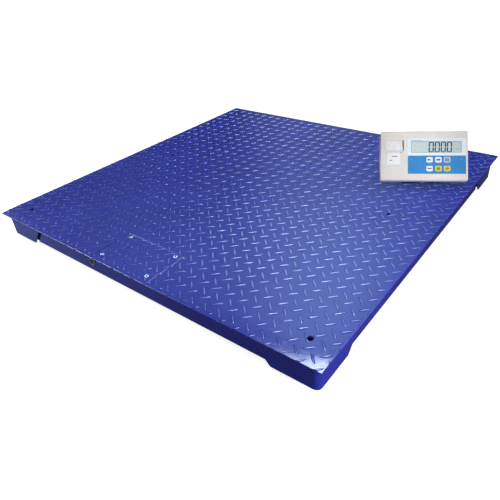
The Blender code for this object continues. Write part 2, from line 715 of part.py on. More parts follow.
def indicator_frame():
    """Empty on the tilt axis: its X, Y and Z are the face's u, v and n."""
    frame = bpy.data.objects.new("indicator_pivot", None)
    PARTS.objects.link(frame)
    turn = Matrix.Rotation(FACE_YAW, 4, "Z") @ Matrix.Rotation(math.pi / 2 - FACE_TILT, 4, "X")
    frame.location = FACE_FOOT + turn @ PIVOT
    frame.rotation_euler = turn.to_euler()
    return frame


class Face:
    """Shapes given in face coordinates, under the indicator's pivot."""

    def __init__(self, parent):
        self.parent = parent

    def place(self, obj):
        obj.parent = self.parent
        obj.location = Vector(obj.location) - PIVOT
        return obj

    def box(self, name, u, v, n, finish, origin=PIVOT):
        return self.place(box(name, u, v, n, finish, tuple(origin)))

    def rod(self, name, radius, start, length, axis, finish, segments=ROUND, origin=PIVOT):
        return self.place(rod(name, radius, start, length, axis, finish, segments, tuple(origin)))

    def prism(self, name, outline, low, high, axes, finish, origin=PIVOT):
        return self.place(prism(name, outline, low, high, axes, finish, tuple(origin)))

    def turned(self, name, profile, finish, origin, axis):
        return self.place(turned(name, profile, finish, tuple(origin), None, ROUND, axis))


def soften_case(obj):
    """Round the case's four corners, then the edges of its front face."""
    bm = bmesh.new()
    bm.from_mesh(obj.data)
    upright = [e for e in bm.edges if abs(e.verts[0].co.z - e.verts[1].co.z) > FRONT_DEPTH / 2]
    bmesh.ops.bevel(bm, geom=upright, offset=CASE_CORNER, segments=4, profile=0.5, affect="EDGES")
    top = max(v.co.z for v in bm.verts)
    front = [e for e in bm.edges if all(abs(v.co.z - top) < 1e-6 for v in e.verts)]
    bmesh.ops.bevel(bm, geom=front, offset=CASE_EDGE, segments=3, profile=0.5, affect="EDGES")
    bm.to_mesh(obj.data)
    bm.free()


def key_places():
    places = []
    for row, v in enumerate(KEY_VS):
        for column, u in enumerate(KEY_US):
            places.append((f"key_{row + 1}_{column + 1}", u, v))
    return places


def shrunk(span, margin):
    """A span with the same margin taken off both ends."""
    return span[0] + margin, span[1] - margin


def cut_face_openings(face, obj, label, display_margin):
    """The display window and the six key openings, through the cover or through the overlay."""
    deep = (-0.02, 0.01)
    window_u, window_v = shrunk(DISPLAY_U, display_margin), shrunk(DISPLAY_V, display_margin)
    cut(obj, face.box(f"{label}_display", window_u, window_v, deep, black_plastic()))
    half_u, half_v = KEY_SIZE[0] / 2 + KEY_PLAY, KEY_SIZE[1] / 2 + KEY_PLAY
    for name, u, v in key_places():
        key_u, key_v = (u - half_u, u + half_u), (v - half_v, v + half_v)
        cut(obj, face.box(f"{label}_{name}", key_u, key_v, deep, black_plastic()))


def build_front_cover(face):
    half = FACE_WIDTH / 2
    cover = face.box("indicator_front_cover", (-half, half), (0, FACE_HEIGHT), (-FRONT_DEPTH, 0), grey_case())
    soften_case(cover)
    inside_u, inside_v = (-half + CASE_WALL, half - CASE_WALL), (CASE_WALL, FACE_HEIGHT - CASE_WALL)
    cut(cover, face.box("front_hollow", inside_u, inside_v, (-0.03, -CASE_WALL), grey_case()))
    cut(cover, face.box("overlay_recess", OVERLAY_U, OVERLAY_V, (-OVERLAY_RECESS, 0.01), grey_case()))
    cut_face_openings(face, cover, "cover", 0.0)
    cut(cover, face.box("printer_bay", BAY_U, BAY_V, (-0.02, 0.01), grey_case()))
    cut(cover, face.box("paper_slot", shrunk(CHEEK_U, 0.002), SLOT_V, (-0.02, 0.01), grey_case()))
    boss_start = BOARD_N[1] + GAP
    for i, (u, v) in enumerate(((-0.0405, 0.030), (-0.0405, 0.078), (0.1235, 0.030), (0.1235, 0.128))):
        length = -boss_start - 0.0020
        join(cover, face.rod(f"board_boss_{i}", 0.003, (u, v, boss_start), length, "Z", grey_case(), 8))


def build_rear_cover(face):
    half = REAR_HALF_WIDTH
    rear = face.prism("indicator_rear_cover", REAR_OUTLINE, -half, half, (2, 1, 0), grey_case())
    hollow = inset(REAR_OUTLINE, (-0.004, CASE_WALL, CASE_WALL, CASE_WALL))
    cut(rear, face.prism("rear_hollow", hollow, -half + CASE_WALL, half - CASE_WALL, (2, 1, 0), grey_case()))
    rear_face = REAR_OUTLINE[-1][0]
    web_v = (PIVOT_V - BOSS_RADIUS + 0.0005, PIVOT_V + BOSS_RADIUS - 0.0005)
    boss_u = (-BOSS_HALF_WIDTH, BOSS_HALF_WIDTH)
    join(rear, face.box("boss_web", boss_u, web_v, (PIVOT_N, rear_face + 0.0015), grey_case()))
    boss_start = (-BOSS_HALF_WIDTH, PIVOT_V, PIVOT_N)
    join(rear, face.rod("boss", BOSS_RADIUS, boss_start, 2 * BOSS_HALF_WIDTH, "X", grey_case()))
    depth = BOSS_HALF_WIDTH - KNOB_STUD_REACH + 0.003
    for name, u in (("left", -BOSS_HALF_WIDTH - 0.01), ("right", BOSS_HALF_WIDTH - depth)):
        start = (u, PIVOT_V, PIVOT_N)
        cut(rear, face.rod(f"stud_hole_{name}", KNOB_STUD_HOLE, start, depth + 0.01, "X", grey_case(), 12))
    hole_start = (*REAR_SOCKET, rear_face - 0.01)
    cut(rear, face.rod("rear_socket_hole", SOCKET_BODY + GAP, hole_start, 0.02, "Z", grey_case()))
    socket = face.turned("indicator_socket", socket_profile(), steel(), (*REAR_SOCKET, rear_face), "Z")
    socket.rotation_euler = (math.pi, 0, 0)


def build_front_panel(face):
    overlay_n = (-OVERLAY_RECESS + GAP, -OVERLAY_RECESS + GAP + OVERLAY_THICK)
    overlay = face.box("front_overlay", shrunk(OVERLAY_U, GAP), shrunk(OVERLAY_V, GAP), overlay_n,
                       material("overlay_blue", (0.03, 0.24, 0.60), 0.35))
    cut_face_openings(face, overlay, "overlay", 0.0005)
    module = face.box("lcd_module", shrunk(DISPLAY_U, -0.005), shrunk(DISPLAY_V, -0.005), (-0.0100, -0.0032),
                      material("lcd_glass", (0.62, 0.68, 0.62), 0.15))
    join(module, face.box("lcd_front", shrunk(DISPLAY_U, 0.001), shrunk(DISPLAY_V, 0.001), (-0.0040, -0.0012),
                          black_plastic()))
    face.box("main_board", (-0.045, 0.128), (0.017, 0.134), BOARD_N, circuit_green())


def key_mesh():
    """A key cap standing on a wider flange, centred on its own origin at the face."""
    bm = bmesh.new()
    flange = Vector((KEY_SIZE[0] + 2 * KEY_FLANGE, KEY_SIZE[1] + 2 * KEY_FLANGE, KEY_FLANGE_THICK))
    middle = Vector((0, 0, KEY_BACK + KEY_FLANGE_THICK / 2))
    bmesh.ops.create_cube(bm, size=1.0, matrix=Matrix.Translation(middle) @ Matrix.Diagonal((*flange, 1.0)))
    front = max(bm.faces, key=lambda f: f.calc_center_median().z)
    bmesh.ops.inset_region(bm, faces=[front], thickness=KEY_FLANGE, use_even_offset=True)
    grown = bmesh.ops.extrude_face_region(bm, geom=[front])
    moved = [g for g in grown["geom"] if isinstance(g, bmesh.types.BMVert)]
    bmesh.ops.translate(bm, vec=(0, 0, KEY_TOP - KEY_BACK - KEY_FLANGE_THICK), verts=moved)
    bmesh.ops.delete(bm, geom=[front], context="FACES_ONLY")
    return mesh_from(bm, "key")


def build_keys(face):
    finishes = {
        "white": white_plastic(),
        "grey": material("grey_key", (0.55, 0.56, 0.60), 0.4),
        "yellow": material("yellow_key", (0.80, 0.66, 0.08), 0.4),
    }
    colours = ("white", "white", "grey", "white", "yellow", "yellow")
    for (name, u, v), colour in zip(key_places(), colours):
        face.place(add_object(name, key_mesh(), finishes[colour], (u, v, 0)))


# ---------------------------------------------------------------- printer
def build_printer(face):
    left, right = CHEEK_U
    middle_u = (left + right) / 2
    door_origin = (middle_u, DOOR_PIVOT_V, DOOR_PIVOT_N)
    face.box("printer_cover", DOOR_U, DOOR_V, DOOR_N, white_plastic(), door_origin)

    mech = face.box("print_head", (left, left + CHEEK), CHEEK_V, CHEEK_N, steel())
    join(mech, face.box("right_cheek", (right - CHEEK, right), CHEEK_V, CHEEK_N, steel()))
    join(mech, face.box("head_bar", shrunk(CHEEK_U, 0.001), (0.0885, 0.0955), (-0.030, -0.0143), steel()))
    inner = right - left - 0.002
    spindle_start = (left + 0.001, ROLL_V, ROLL_N)
    join(mech, face.rod("spindle", SPINDLE_RADIUS, spindle_start, inner, "X", steel(), 12))
    bore_start = (left - 0.01, PLATEN_V, PLATEN_N)
    cut(mech, face.rod("platen_bore", PLATEN_SHAFT + GAP, bore_start, 0.08, "X", steel(), 12))
    add_rollers(face, middle_u, inner)
    build_ticket(face)


def add_rollers(face, middle_u, inner):
    """The platen on its shaft and the paper roll on its spindle, between the cheeks."""
    half = inner / 2 + 0.0008
    body = inner / 2 - 0.0018
    profile = [(0, half), (PLATEN_SHAFT, half), (PLATEN_SHAFT, body), (PLATEN_RADIUS, body),
               (PLATEN_RADIUS, -body), (PLATEN_SHAFT, -body), (PLATEN_SHAFT, -half), (0, -half)]
    face.turned("platen_roller", profile, rubber(), (middle_u, PLATEN_V, PLATEN_N), "X")

    roll_half = body - 0.0015
    ring = [(ROLL_RADIUS, roll_half), (ROLL_RADIUS, -roll_half),
            (ROLL_CORE, -roll_half), (ROLL_CORE, roll_half)]
    face.turned("paper_roll", ring, white_plastic(), (middle_u, ROLL_V, ROLL_N), "X")


def build_ticket(face):
    """The end of the paper, out of the slot and down the face."""
    bm = bmesh.new()
    rows = []
    for n, v in TICKET_PATH:
        ends = (TICKET_U - TICKET_HALF_WIDTH, TICKET_U + TICKET_HALF_WIDTH)
        rows.append([bm.verts.new(Vector((u, v, n)) - PIVOT) for u in ends])
    for (a, b), (c, d) in zip(rows, rows[1:]):
        bm.faces.new((a, c, d, b))
    mesh = bpy.data.meshes.new("paper_ticket")
    bm.to_mesh(mesh)
    bm.free()
    ticket = face.place(add_object("paper_ticket", mesh, white_plastic(), tuple(PIVOT)))
    sheet = ticket.modifiers.new("sheet", "SOLIDIFY")
    sheet.thickness = TICKET_THICK
    sheet.offset = 0.0
    sheet.use_even_offset = True


# ---------------------------------------------------------------- tilt bracket and knobs
def bracket_frame():
    """Empty on the deck under the face's lower edge: X to the right, Y to the back, Z up."""
    frame = bpy.data.objects.new("bracket_foot", None)
    PARTS.objects.link(frame)
    frame.location = (FACE_FOOT.x, FACE_FOOT.y, DECK_TOP)
    frame.rotation_euler.z = FACE_YAW
    return frame


def pivot_in_bracket():
    """Distance back and height of the tilt axis in the bracket's frame."""
    turn = Matrix.Rotation(math.pi / 2 - FACE_TILT, 4, "X")
    place = turn @ PIVOT
    return place.y, place.z + FACE_FOOT.z - DECK_TOP


def build_bracket():
    frame = bracket_frame()
    back, height = pivot_in_bracket()
    base_z = (GAP, GAP + BASE_SHEET)
    bracket = box("tilt_bracket", (-EAR_OUTER, EAR_OUTER), BASE_BACK, base_z, steel(), parent=frame)
    outline = [(EAR_BASE[0], 0.001), (EAR_BASE[1], 0.001)] + arc((back, height), EAR_RADIUS, 0, 180, 8)
    for name, low, high in (("left", -EAR_OUTER, -EAR_INNER), ("right", EAR_INNER, EAR_OUTER)):
        join(bracket, prism(f"ear_{name}", outline, low, high, (1, 2, 0), steel(), parent=frame))
    cut(bracket, rod("ear_holes", KNOB_STUD_HOLE, (-0.1, back, height), 0.2, "X", steel(), 12, parent=frame))


def build_knobs(face):
    count = KNOB_LOBES * 6
    outline = []
    for i in range(count):
        angle = 2 * math.pi * i / count
        radius = KNOB_RADIUS - KNOB_LOBE_DEPTH * (1 - math.cos(KNOB_LOBES * angle)) / 2
        outline.append((PIVOT_V + radius * math.cos(angle), PIVOT_N + radius * math.sin(angle)))
    reach = KNOB_START - KNOB_STUD_REACH + 0.001
    for name, side in (("left", -1), ("right", 1)):
        low, high = sorted((side * KNOB_START, side * KNOB_END))
        origin = Vector((side * KNOB_START, PIVOT_V, PIVOT_N))
        knob = face.prism(f"bracket_knob_{name}", outline, low, high, (1, 2, 0), black_plastic(), origin)
        start = (min(side * KNOB_STUD_REACH, side * (KNOB_STUD_REACH + reach)), PIVOT_V, PIVOT_N)
        join(knob, face.rod(f"knob_stud_{name}", KNOB_STUD, start, reach, "X", black_plastic(), 12))


def build_indicator():
    face = Face(indicator_frame())
    build_front_cover(face)
    build_rear_cover(face)
    build_front_panel(face)
    build_keys(face)
    build_printer(face)
    build_bracket()
    build_knobs(face)


def build_platform():
    build_deck()
    build_hatch()
    build_skirts()
    build_pockets()
    build_frame()
    for name, x, y in CORNERS:
        build_load_cell(name, x, y)
        build_foot(name, x, y)
    build_junction_box()
    build_cables()
    build_signal_socket()


start_scene()
build_platform()
build_indicator()
bpy.context.view_layer.update()
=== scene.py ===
"""Looks of a low-profile platform scale with a tilting printer indicator on its deck.

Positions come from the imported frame. Face coordinates are u to the right, v up the
indicator's face and n out of it, in metres, from the middle of its lower edge.
"""
import json
import math

import bmesh
import bpy
from mathutils import Matrix, Vector

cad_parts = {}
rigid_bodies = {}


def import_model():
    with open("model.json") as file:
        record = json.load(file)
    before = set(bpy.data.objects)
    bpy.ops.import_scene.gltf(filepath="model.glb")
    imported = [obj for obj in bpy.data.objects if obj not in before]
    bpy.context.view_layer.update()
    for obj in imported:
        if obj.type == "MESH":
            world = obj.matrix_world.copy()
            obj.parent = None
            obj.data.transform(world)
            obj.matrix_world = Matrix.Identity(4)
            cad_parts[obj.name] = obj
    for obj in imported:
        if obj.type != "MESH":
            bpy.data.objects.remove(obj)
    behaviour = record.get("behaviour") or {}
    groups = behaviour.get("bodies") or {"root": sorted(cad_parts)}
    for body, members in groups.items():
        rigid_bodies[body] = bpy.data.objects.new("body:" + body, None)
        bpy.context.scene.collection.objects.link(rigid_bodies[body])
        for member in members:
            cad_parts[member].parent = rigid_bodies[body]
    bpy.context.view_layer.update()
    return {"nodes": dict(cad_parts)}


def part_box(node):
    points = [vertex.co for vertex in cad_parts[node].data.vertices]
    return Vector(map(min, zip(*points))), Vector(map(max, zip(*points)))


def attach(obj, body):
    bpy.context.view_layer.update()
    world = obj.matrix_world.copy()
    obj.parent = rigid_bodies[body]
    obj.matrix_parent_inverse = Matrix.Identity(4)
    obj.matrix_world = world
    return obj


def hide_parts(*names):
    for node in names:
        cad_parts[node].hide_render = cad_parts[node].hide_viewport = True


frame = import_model()
NODES = frame["nodes"]
CORNERS = ("front_left", "front_right", "rear_left", "rear_right")
WELD = 0.00002

# Deck and hatch, from the frame.
deck_low, deck_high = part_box("deck_plate")
hatch_low, hatch_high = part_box("hatch_cover")
DECK_TOP = deck_high.z
DECK_UNDER = deck_low.z
CHAMFER = 0.0009
EDGE_SAG = 0.0013
EDGE_SAG_REACH = 0.055
HATCH_GAP = 0.0006
HOLE_MARGIN = 0.002
NOTCH_LEFT = 0.3
ACCESS_HOLE_RADIUS = 0.007
SCREW_HOLE_RADIUS = 0.0066
LIFT_HOLE_RADIUS = 0.0065
LIFT_HOLES = ((-0.450, 0.025), (0.450, 0.025))

# Tread pattern: lugs at right angles to their neighbours, on a square grid turned by 45 degrees.
# A lug's rings are shares of its length, width and height.
LUG_PITCH = 0.0415
LUG_CELL = LUG_PITCH / math.sqrt(2)
LUG_HALF_LENGTH = 0.0160
LUG_CELL_BULGE = 0.0034
LUG_HALF_WIDTH = 0.0032
LUG_HEIGHT = 0.0013
LUG_RINGS = ((1.0, 1.0, 0.0), (0.91, 0.84, 0.38), (0.70, 0.54, 0.78), (0.32, 0.20, 1.0))
LUG_SHARP = math.radians(26)
LUG_START = (0.5867, -0.5973)
LUG_SIDES = 16
LUG_POINTING = 0.12
PLATE_TOP = DECK_TOP - LUG_HEIGHT

# Lug crests lightened round one place as a painted highlight, and the corner where the paint is glossiest.
CREST_HIGHLIGHT_MIDDLE = (0.32, -0.24, 0.09)
CREST_HIGHLIGHT_REACH = (0.12, 0.48)
CREST_HIGHLIGHT_AMOUNT = (0.80, 0.02)
CREST_HIGHLIGHT_HEIGHT = (PLATE_TOP + 0.25 * LUG_HEIGHT, PLATE_TOP + 0.85 * LUG_HEIGHT)
POLISHED_CORNER = (0.60, -0.60, 0.095)
POLISH_REACH = (0.10, 0.34)
POLISH = 0.30
COAT_ROUGHNESS = 0.12

# Indicator face: the middle of its lower edge, its turn and its slope.
FACE_FOOT = Vector((0.475, 0.221, 0.125))
FACE_YAW = math.radians(29.6)
FACE_TILT = math.radians(40.0)
FACE = (Matrix.Translation(FACE_FOOT) @ Matrix.Rotation(FACE_YAW, 4, "Z")
        @ Matrix.Rotation(math.pi / 2 - FACE_TILT, 4, "X"))


# ---------------- node helpers
VECTOR = "ShaderNodeVectorMath"


def feed(tree, socket, source):
    """Link an input or give it a fixed value; a colour may leave out its alpha."""
    if isinstance(source, bpy.types.NodeSocket):
        tree.links.new(source, socket)
    elif isinstance(source, tuple) and len(source) < len(socket.default_value):
        socket.default_value = (*source, 1.0)
    else:
        socket.default_value = source


def math_node(tree, operation, *values, kind="ShaderNodeMath", output=0):
    node = tree.nodes.new(kind)
    node.operation = operation
    for socket, value in zip(node.inputs, values):
        feed(tree, socket, value)
    return node.outputs[output]


def mix_node(tree, factor, first, second):
    node = tree.nodes.new("ShaderNodeMix")
    node.data_type = "RGBA"
    for socket, source in (("Factor", factor), (6, first), (7, second)):
        feed(tree, node.inputs[socket], source)
    return node.outputs[2]


class Shader:
    """A small wrapper that adds and links nodes of one material."""

    def __init__(self, name):
        self.material = bpy.data.materials.new(name)
        self.material.use_nodes = True
        self.tree = self.material.node_tree
        self.surface = self.tree.nodes["Principled BSDF"]
        self.place = self.add("ShaderNodeTexCoord").outputs["Object"]

    def add(self, kind, **values):
        node = self.tree.nodes.new(kind)
        for key, value in values.items():
            setattr(node, key, value)
        return node

    def link(self, source, node, socket):
        feed(self.tree, node.inputs[socket], source)

    def noise(self, scale, detail=4.0, rough=0.5, stretch=None):
        """Noise value at a scale in repeats per metre."""
        node = self.add("ShaderNodeTexNoise")
        node.inputs["Scale"].default_value = scale
        node.inputs["Detail"].default_value = detail
        node.inputs["Roughness"].default_value = rough
        if stretch:
            mapping = self.add("ShaderNodeMapping")
            mapping.inputs["Scale"].default_value = stretch
            self.link(self.place, mapping, "Vector")
            self.link(mapping.outputs["Vector"], node, "Vector")
        else:
            self.link(self.place, node, "Vector")
        return node.outputs["Fac"]

    def ramp(self, source, *stops):
        node = self.add("ShaderNodeValToRGB")
        elements = node.color_ramp.elements
        while len(elements) < len(stops):
            elements.new(0.5)
        for element, (position, colour) in zip(elements, stops):
            element.position = position
            element.color = (*colour, 1.0)
        self.link(source, node, "Fac")
        return node.outputs["Color"]

    def value(self, source, low, high, start=0.3, end=0.7):
        node = self.add("ShaderNodeMapRange")
        node.inputs["From Min"].default_value = start
        node.inputs["From Max"].default_value = end
        node.inputs["To Min"].default_value = low
        node.inputs["To Max"].default_value = high
        self.link(source, node, "Value")
        return node.outputs["Result"]

    def multiply(self, first, second):
        return math_node(self.tree, "MULTIPLY", first, second)

    def distance(self, place):
        """Distance of the shaded point from a place."""
        return math_node(self.tree, "DISTANCE", self.place, place, kind=VECTOR, output="Value")

    def mix(self, factor, first, second):
        return mix_node(self.tree, factor, first, second)

    def bump(self, source, depth, strength=1.0, under=None):
        node = self.add("ShaderNodeBump")
        node.inputs["Distance"].default_value = depth
        node.inputs["Strength"].default_value = strength
        self.link(source, node, "Height")
        if under is not None:
            self.link(under, node, "Normal")
        return node.outputs["Normal"]

    def finish(self, colour=None, roughness=None, normal=None, **fixed):
        for socket, source in (("Base Color", colour), ("Roughness", roughness), ("Normal", normal)):
            if source is not None:
                self.link(source, self.surface, socket)
        for socket, value in fixed.items():
            self.link(value, self.surface, socket.replace("_", " "))
        return self.material


def srgb(red, green, blue):
    """Linear colour from 0-255 values."""
    shares = (red / 255, green / 255, blue / 255)
    return tuple(c / 12.92 if c <= 0.04 else ((c + 0.055) / 1.055) ** 2.4 for c in shares)


# ---------------- materials
def blue_paint():
    """Gloss enamel over rolled steel: orange peel, soft colour drift, and a painted highlight that lightens
    the lug crests round one place.
    """
    s = Shader("blue_enamel")
    drift = s.noise(6.0, 3.0)
    fine = s.noise(90.0, 5.0)
    base = s.ramp(drift, (0.30, srgb(38, 42, 158)), (0.70, srgb(46, 54, 172)))
    colour = s.mix(s.value(fine, 0.0, 0.25, 0.35, 0.75), base, srgb(58, 66, 180))
    split = s.add("ShaderNodeSeparateXYZ")
    s.link(s.place, split, "Vector")
    # Painted highlight: lug crests are mixed towards pale blue, most strongly near one place on the deck.
    crest = s.value(split.outputs["Z"], 0.0, 1.0, *CREST_HIGHLIGHT_HEIGHT)
    crest_highlight = s.multiply(crest, s.value(s.distance(CREST_HIGHLIGHT_MIDDLE), *CREST_HIGHLIGHT_AMOUNT, *CREST_HIGHLIGHT_REACH))
    colour = s.mix(crest_highlight, colour, srgb(156, 184, 255))
    polish = s.value(s.distance(POLISHED_CORNER), POLISH, 1.0, *POLISH_REACH)
    rough = s.multiply(s.value(s.noise(25.0, 4.0), 0.13, 0.20), polish)
    s.link(s.multiply(polish, COAT_ROUGHNESS), s.surface, "Coat Roughness")
    peel = s.bump(s.noise(330.0, 2.0), 0.00022, 0.6)
    waves = s.bump(s.noise(28.0, 2.0), 0.0008, 0.35, peel)
    return s.finish(colour, rough, waves, Coat_Weight=0.35, Specular_IOR_Level=0.5)


def grained(name, dark, light, drift, grain, roughness, depth, strength, **fixed):
    """Colour that drifts between two shades, with a finer grain in its gloss and relief."""
    s = Shader(name)
    colour = s.ramp(s.noise(*drift), (0.3, dark), (0.7, light))
    fine = s.noise(*grain)
    return s.finish(colour, s.value(fine, *roughness), s.bump(fine, depth, strength), **fixed)


def case_plastic(name, dark, light):
    """Moulded ABS with a fine spark texture and a slight warm and cool drift."""
    s = Shader(name)
    grain = s.noise(1700.0, 3.0, 0.6)
    base = s.ramp(s.noise(14.0, 2.0), (0.35, dark), (0.65, light))
    colour = s.mix(s.value(grain, 0.0, 0.10, 0.4, 0.7), base, (0.55, 0.54, 0.52))
    rough = s.value(grain, 0.42, 0.58)
    return s.finish(colour, rough, s.bump(grain, 0.0001, 0.35), Specular_IOR_Level=0.4)


def moulded(name, dark, light, roughness=(0.3, 0.45)):
    return grained(name, dark, light, (60.0, 3.0), (1200.0, 3.0), roughness, 0.00004, 0.35)


def printed(name, dark, light):
    """Silk-screened ink on a hard-coated film."""
    return grained(name, dark, light, (30.0, 3.0), (2600.0, 2.0), (0.30, 0.42), 0.00002, 0.3,
                   Coat_Weight=0.2, Coat_Roughness=0.2)


def circuit_board():
    s = Shader("solder_mask")
    brick = s.add("ShaderNodeTexBrick", offset=0.5)
    for socket, source in (("Vector", s.place), ("Scale", 120.0), ("Mortar Size", 0.03),
                           ("Color1", (0.010, 0.085, 0.035)), ("Color2", (0.014, 0.110, 0.045)),
                           ("Mortar", (0.030, 0.220, 0.085))):
        s.link(source, brick, socket)
    rough = s.value(s.noise(200.0), 0.3, 0.5)
    return s.finish(brick.outputs["Color"], rough, s.bump(brick.outputs["Fac"], 0.00003, 0.5))


# Noise as scale, detail, roughness and stretch.
BRUSHED = (300.0, 4.0, 0.6, (0.08, 1.0, 1.0))
FIBRES = (900.0, 5.0, 0.7, (1.0, 0.4, 1.0))
M = {
    "paint": blue_paint(),
    "zinc": grained("zinc_plate", (0.52, 0.53, 0.55), (0.68, 0.69, 0.70), (140.0, 4.0),
                    (500.0, 3.0, 0.6, (1.0, 1.0, 0.15)), (0.24, 0.42), 0.00004, 0.4, Metallic=1.0),
    "screw": grained("screw_zinc", (0.50, 0.52, 0.72), (0.66, 0.68, 0.86), (900.0, 3.0),
                     (900.0, 3.0), (0.30, 0.45), 0.00003, 0.4, Metallic=1.0),
    "cell": grained("cell_nickel", (0.16, 0.16, 0.16), (0.26, 0.26, 0.25), BRUSHED, BRUSHED,
                    (0.28, 0.45), 0.00004, 0.4, Metallic=1.0),
    "rubber": grained("pad_rubber", (0.018, 0.018, 0.019), (0.035, 0.034, 0.033), (60.0,),
                      (900.0, 4.0, 0.6), (0.65, 0.85), 0.0001, 0.6),
    "jacket": grained("cable_jacket", (0.014, 0.014, 0.015), (0.024, 0.024, 0.026), (40.0,),
                      (700.0, 3.0), (0.4, 0.55), 0.00005, 0.5),
    "case": case_plastic("case_abs", srgb(218, 215, 208), srgb(226, 223, 217)),
    "box": case_plastic("box_abs", srgb(150, 152, 154), srgb(164, 166, 168)),
    "white": moulded("white_abs", (0.78, 0.77, 0.77), (0.84, 0.84, 0.83)),
    "black": moulded("black_nylon", (0.010, 0.010, 0.011), (0.020, 0.020, 0.021), (0.4, 0.6)),
    "board": circuit_board(),
    "paper": grained("thermal_paper", (0.76, 0.77, 0.79), (0.88, 0.88, 0.88), FIBRES, FIBRES,
                     (0.6, 0.8), 0.00003, 0.5),
    "lcd": grained("lcd_film", srgb(188, 208, 208), srgb(206, 221, 218), (9.0, 1.0),
                   (3000.0, 1.0), (0.16, 0.24), 0.00001, 0.3, Coat_Weight=0.5, Coat_Roughness=0.05),
    "film_white": printed("film_white", srgb(218, 230, 236), srgb(226, 236, 241)),
    "film_blue": printed("film_blue", srgb(44, 130, 196), srgb(52, 138, 204)),
    "ink_dark": printed("ink_dark", srgb(34, 36, 48), srgb(44, 46, 60)),
    "ink_teal": printed("ink_teal", srgb(96, 178, 190), srgb(112, 190, 200)),
    "ink_olive": printed("ink_olive", srgb(148, 122, 24), srgb(164, 138, 30)),
    "ink_grey": printed("ink_grey", srgb(120, 126, 140), srgb(140, 146, 160)),
    "ink_mist": printed("ink_mist", srgb(128, 152, 152), srgb(144, 164, 164)),
    # Pink tint of the printer cover's arched ribs: a painted shade line.
    "rib_tint": moulded("rib_tint", srgb(214, 198, 198), srgb(222, 208, 208)),
    # Pale grey, not metallic, on the signal socket flange: a painted reflection in place of the light its
    # metal rim gives back.
    "socket": moulded("socket_grey_painted_reflection", (0.34, 0.34, 0.36), (0.46, 0.46, 0.48)),
    "black_oxide": moulded("black_oxide", (0.012, 0.012, 0.014), (0.022, 0.022, 0.025), (0.5, 0.7)),
    "segment": printed("lcd_segment", srgb(28, 32, 78), srgb(38, 42, 90)),
    "key_white": moulded("key_white", (0.82, 0.85, 0.87), (0.88, 0.90, 0.92)),
    "key_grey": moulded("key_grey", srgb(188, 198, 214), srgb(198, 206, 220)),
    "key_yellow": moulded("key_yellow", srgb(222, 206, 78), srgb(232, 218, 96)),
}


# ---------------- mesh helpers
def new_piece(name, mesh, body, finish, replaces=()):
    obj = bpy.data.objects.new(name, mesh)
    bpy.context.scene.collection.objects.link(obj)
    for item in (finish if isinstance(finish, (list, tuple)) else [finish]):
        mesh.materials.append(M[item])
    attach(obj, body)
    if replaces:
        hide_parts(*replaces)
    return obj


def to_mesh(bm, name, smooth=True):
    mesh = bpy.data.meshes.new(name)
    for face in bm.faces:
        face.smooth = smooth
    bm.to_mesh(mesh)
    bm.free()
    return mesh


def soften(obj, width):
    """Round the edges of a piece with modifiers, leaving its own mesh as it is."""
    weld = obj.modifiers.new("weld", "WELD")
    weld.merge_threshold = WELD
    bevel = obj.modifiers.new("soften", "BEVEL")
    bevel.width = width
    bevel.segments = 2
    bevel.limit_method = "ANGLE"
    bevel.angle_limit = math.radians(32)
    bevel.harden_normals = False
    shade = obj.modifiers.new("even", "WEIGHTED_NORMAL")
    shade.keep_sharp = True
    for polygon in obj.data.polygons:
        polygon.use_smooth = True


def dress(node, finish, width):
    """Give a CAD node its finish and, if asked, softened edges."""
    obj = NODES[node]
    obj.data.materials.clear()
    obj.data.materials.append(M[finish])
    if width:
        soften(obj, width)


# ---------------- shapes in a plane
def rounded(u, v, radius=0.0, steps=4):
    """Rectangle with rounded corners, anticlockwise."""
    if not radius:
        return [(u[0], v[0]), (u[1], v[0]), (u[1], v[1]), (u[0], v[1])]
    points = []
    for cu, cv, start in ((u[1] - radius, v[0] + radius, -90), (u[1] - radius, v[1] - radius, 0),
                          (u[0] + radius, v[1] - radius, 90), (u[0] + radius, v[0] + radius, 180)):
        for k in range(steps + 1):
            angle = math.radians(start + 90 * k / steps)
            points.append((cu + radius * math.cos(angle), cv + radius * math.sin(angle)))
    return points


def disc(u, v, radius, steps=20):
    angles = [2 * math.pi * k / steps for k in range(steps)]
    return [(u + radius * math.cos(angle), v + radius * math.sin(angle)) for angle in angles]


def bar(u, v, half_u, half_v, radius=0.0):
    return rounded((u - half_u, u + half_u), (v - half_v, v + half_v), radius, 3)


def inset(outline, depth):
    """An anticlockwise outline moved inwards."""
    moved = []
    for i, (u, v) in enumerate(outline):
        before, after = outline[i - 1], outline[(i + 1) % len(outline)]
        come = Vector((u - before[0], v - before[1])).normalized()
        go = Vector((after[0] - u, after[1] - v)).normalized()
        across = Vector((-come.y - go.y, come.x + go.x)) * (depth / (1 + come.dot(go)))
        moved.append((u + across.x, v + across.y))
    return moved


def skin(bm, rings):
    """Faces between rings of the same length, one above the other."""
    rows = [[bm.verts.new(point) for point in ring] for ring in rings]
    count = len(rows[0])
    for below, above in zip(rows, rows[1:]):
        for k in range(count):
            bm.faces.new((below[k], below[(k + 1) % count], above[(k + 1) % count], above[k]))
    return rows


def add_slab(bm, outline, low, high, edge=0.0):
    """Closed slab over an outline, its upper edge chamfered."""
    levels = [(outline, low), (outline, high - edge)]
    if edge:
        levels.append((inset(outline, edge), high))
    rows = skin(bm, [[(u, v, n) for u, v in points] for points, n in levels])
    bm.faces.new(rows[0][::-1])
    bm.faces.new(rows[-1])


def add_ring(bm, outline, width, low, high, edge=0.0):
    """Closed frame of a width inside an outline, its upper edges chamfered."""
    hole = inset(outline, width)
    levels = [(hole, low), (outline, low), (outline, high - edge), (inset(outline, edge), high),
              (inset(outline, width - edge), high), (hole, high - edge), (hole, low)]
    if not edge:
        levels = [(hole, low), (outline, low), (outline, high), (hole, high), (hole, low)]
    rows = skin(bm, [[(u, v, n) for u, v in points] for points, n in levels])
    for first, last in zip(rows[0], rows[-1]):
        bmesh.ops.pointmerge(bm, verts=[first, last], merge_co=first.co)


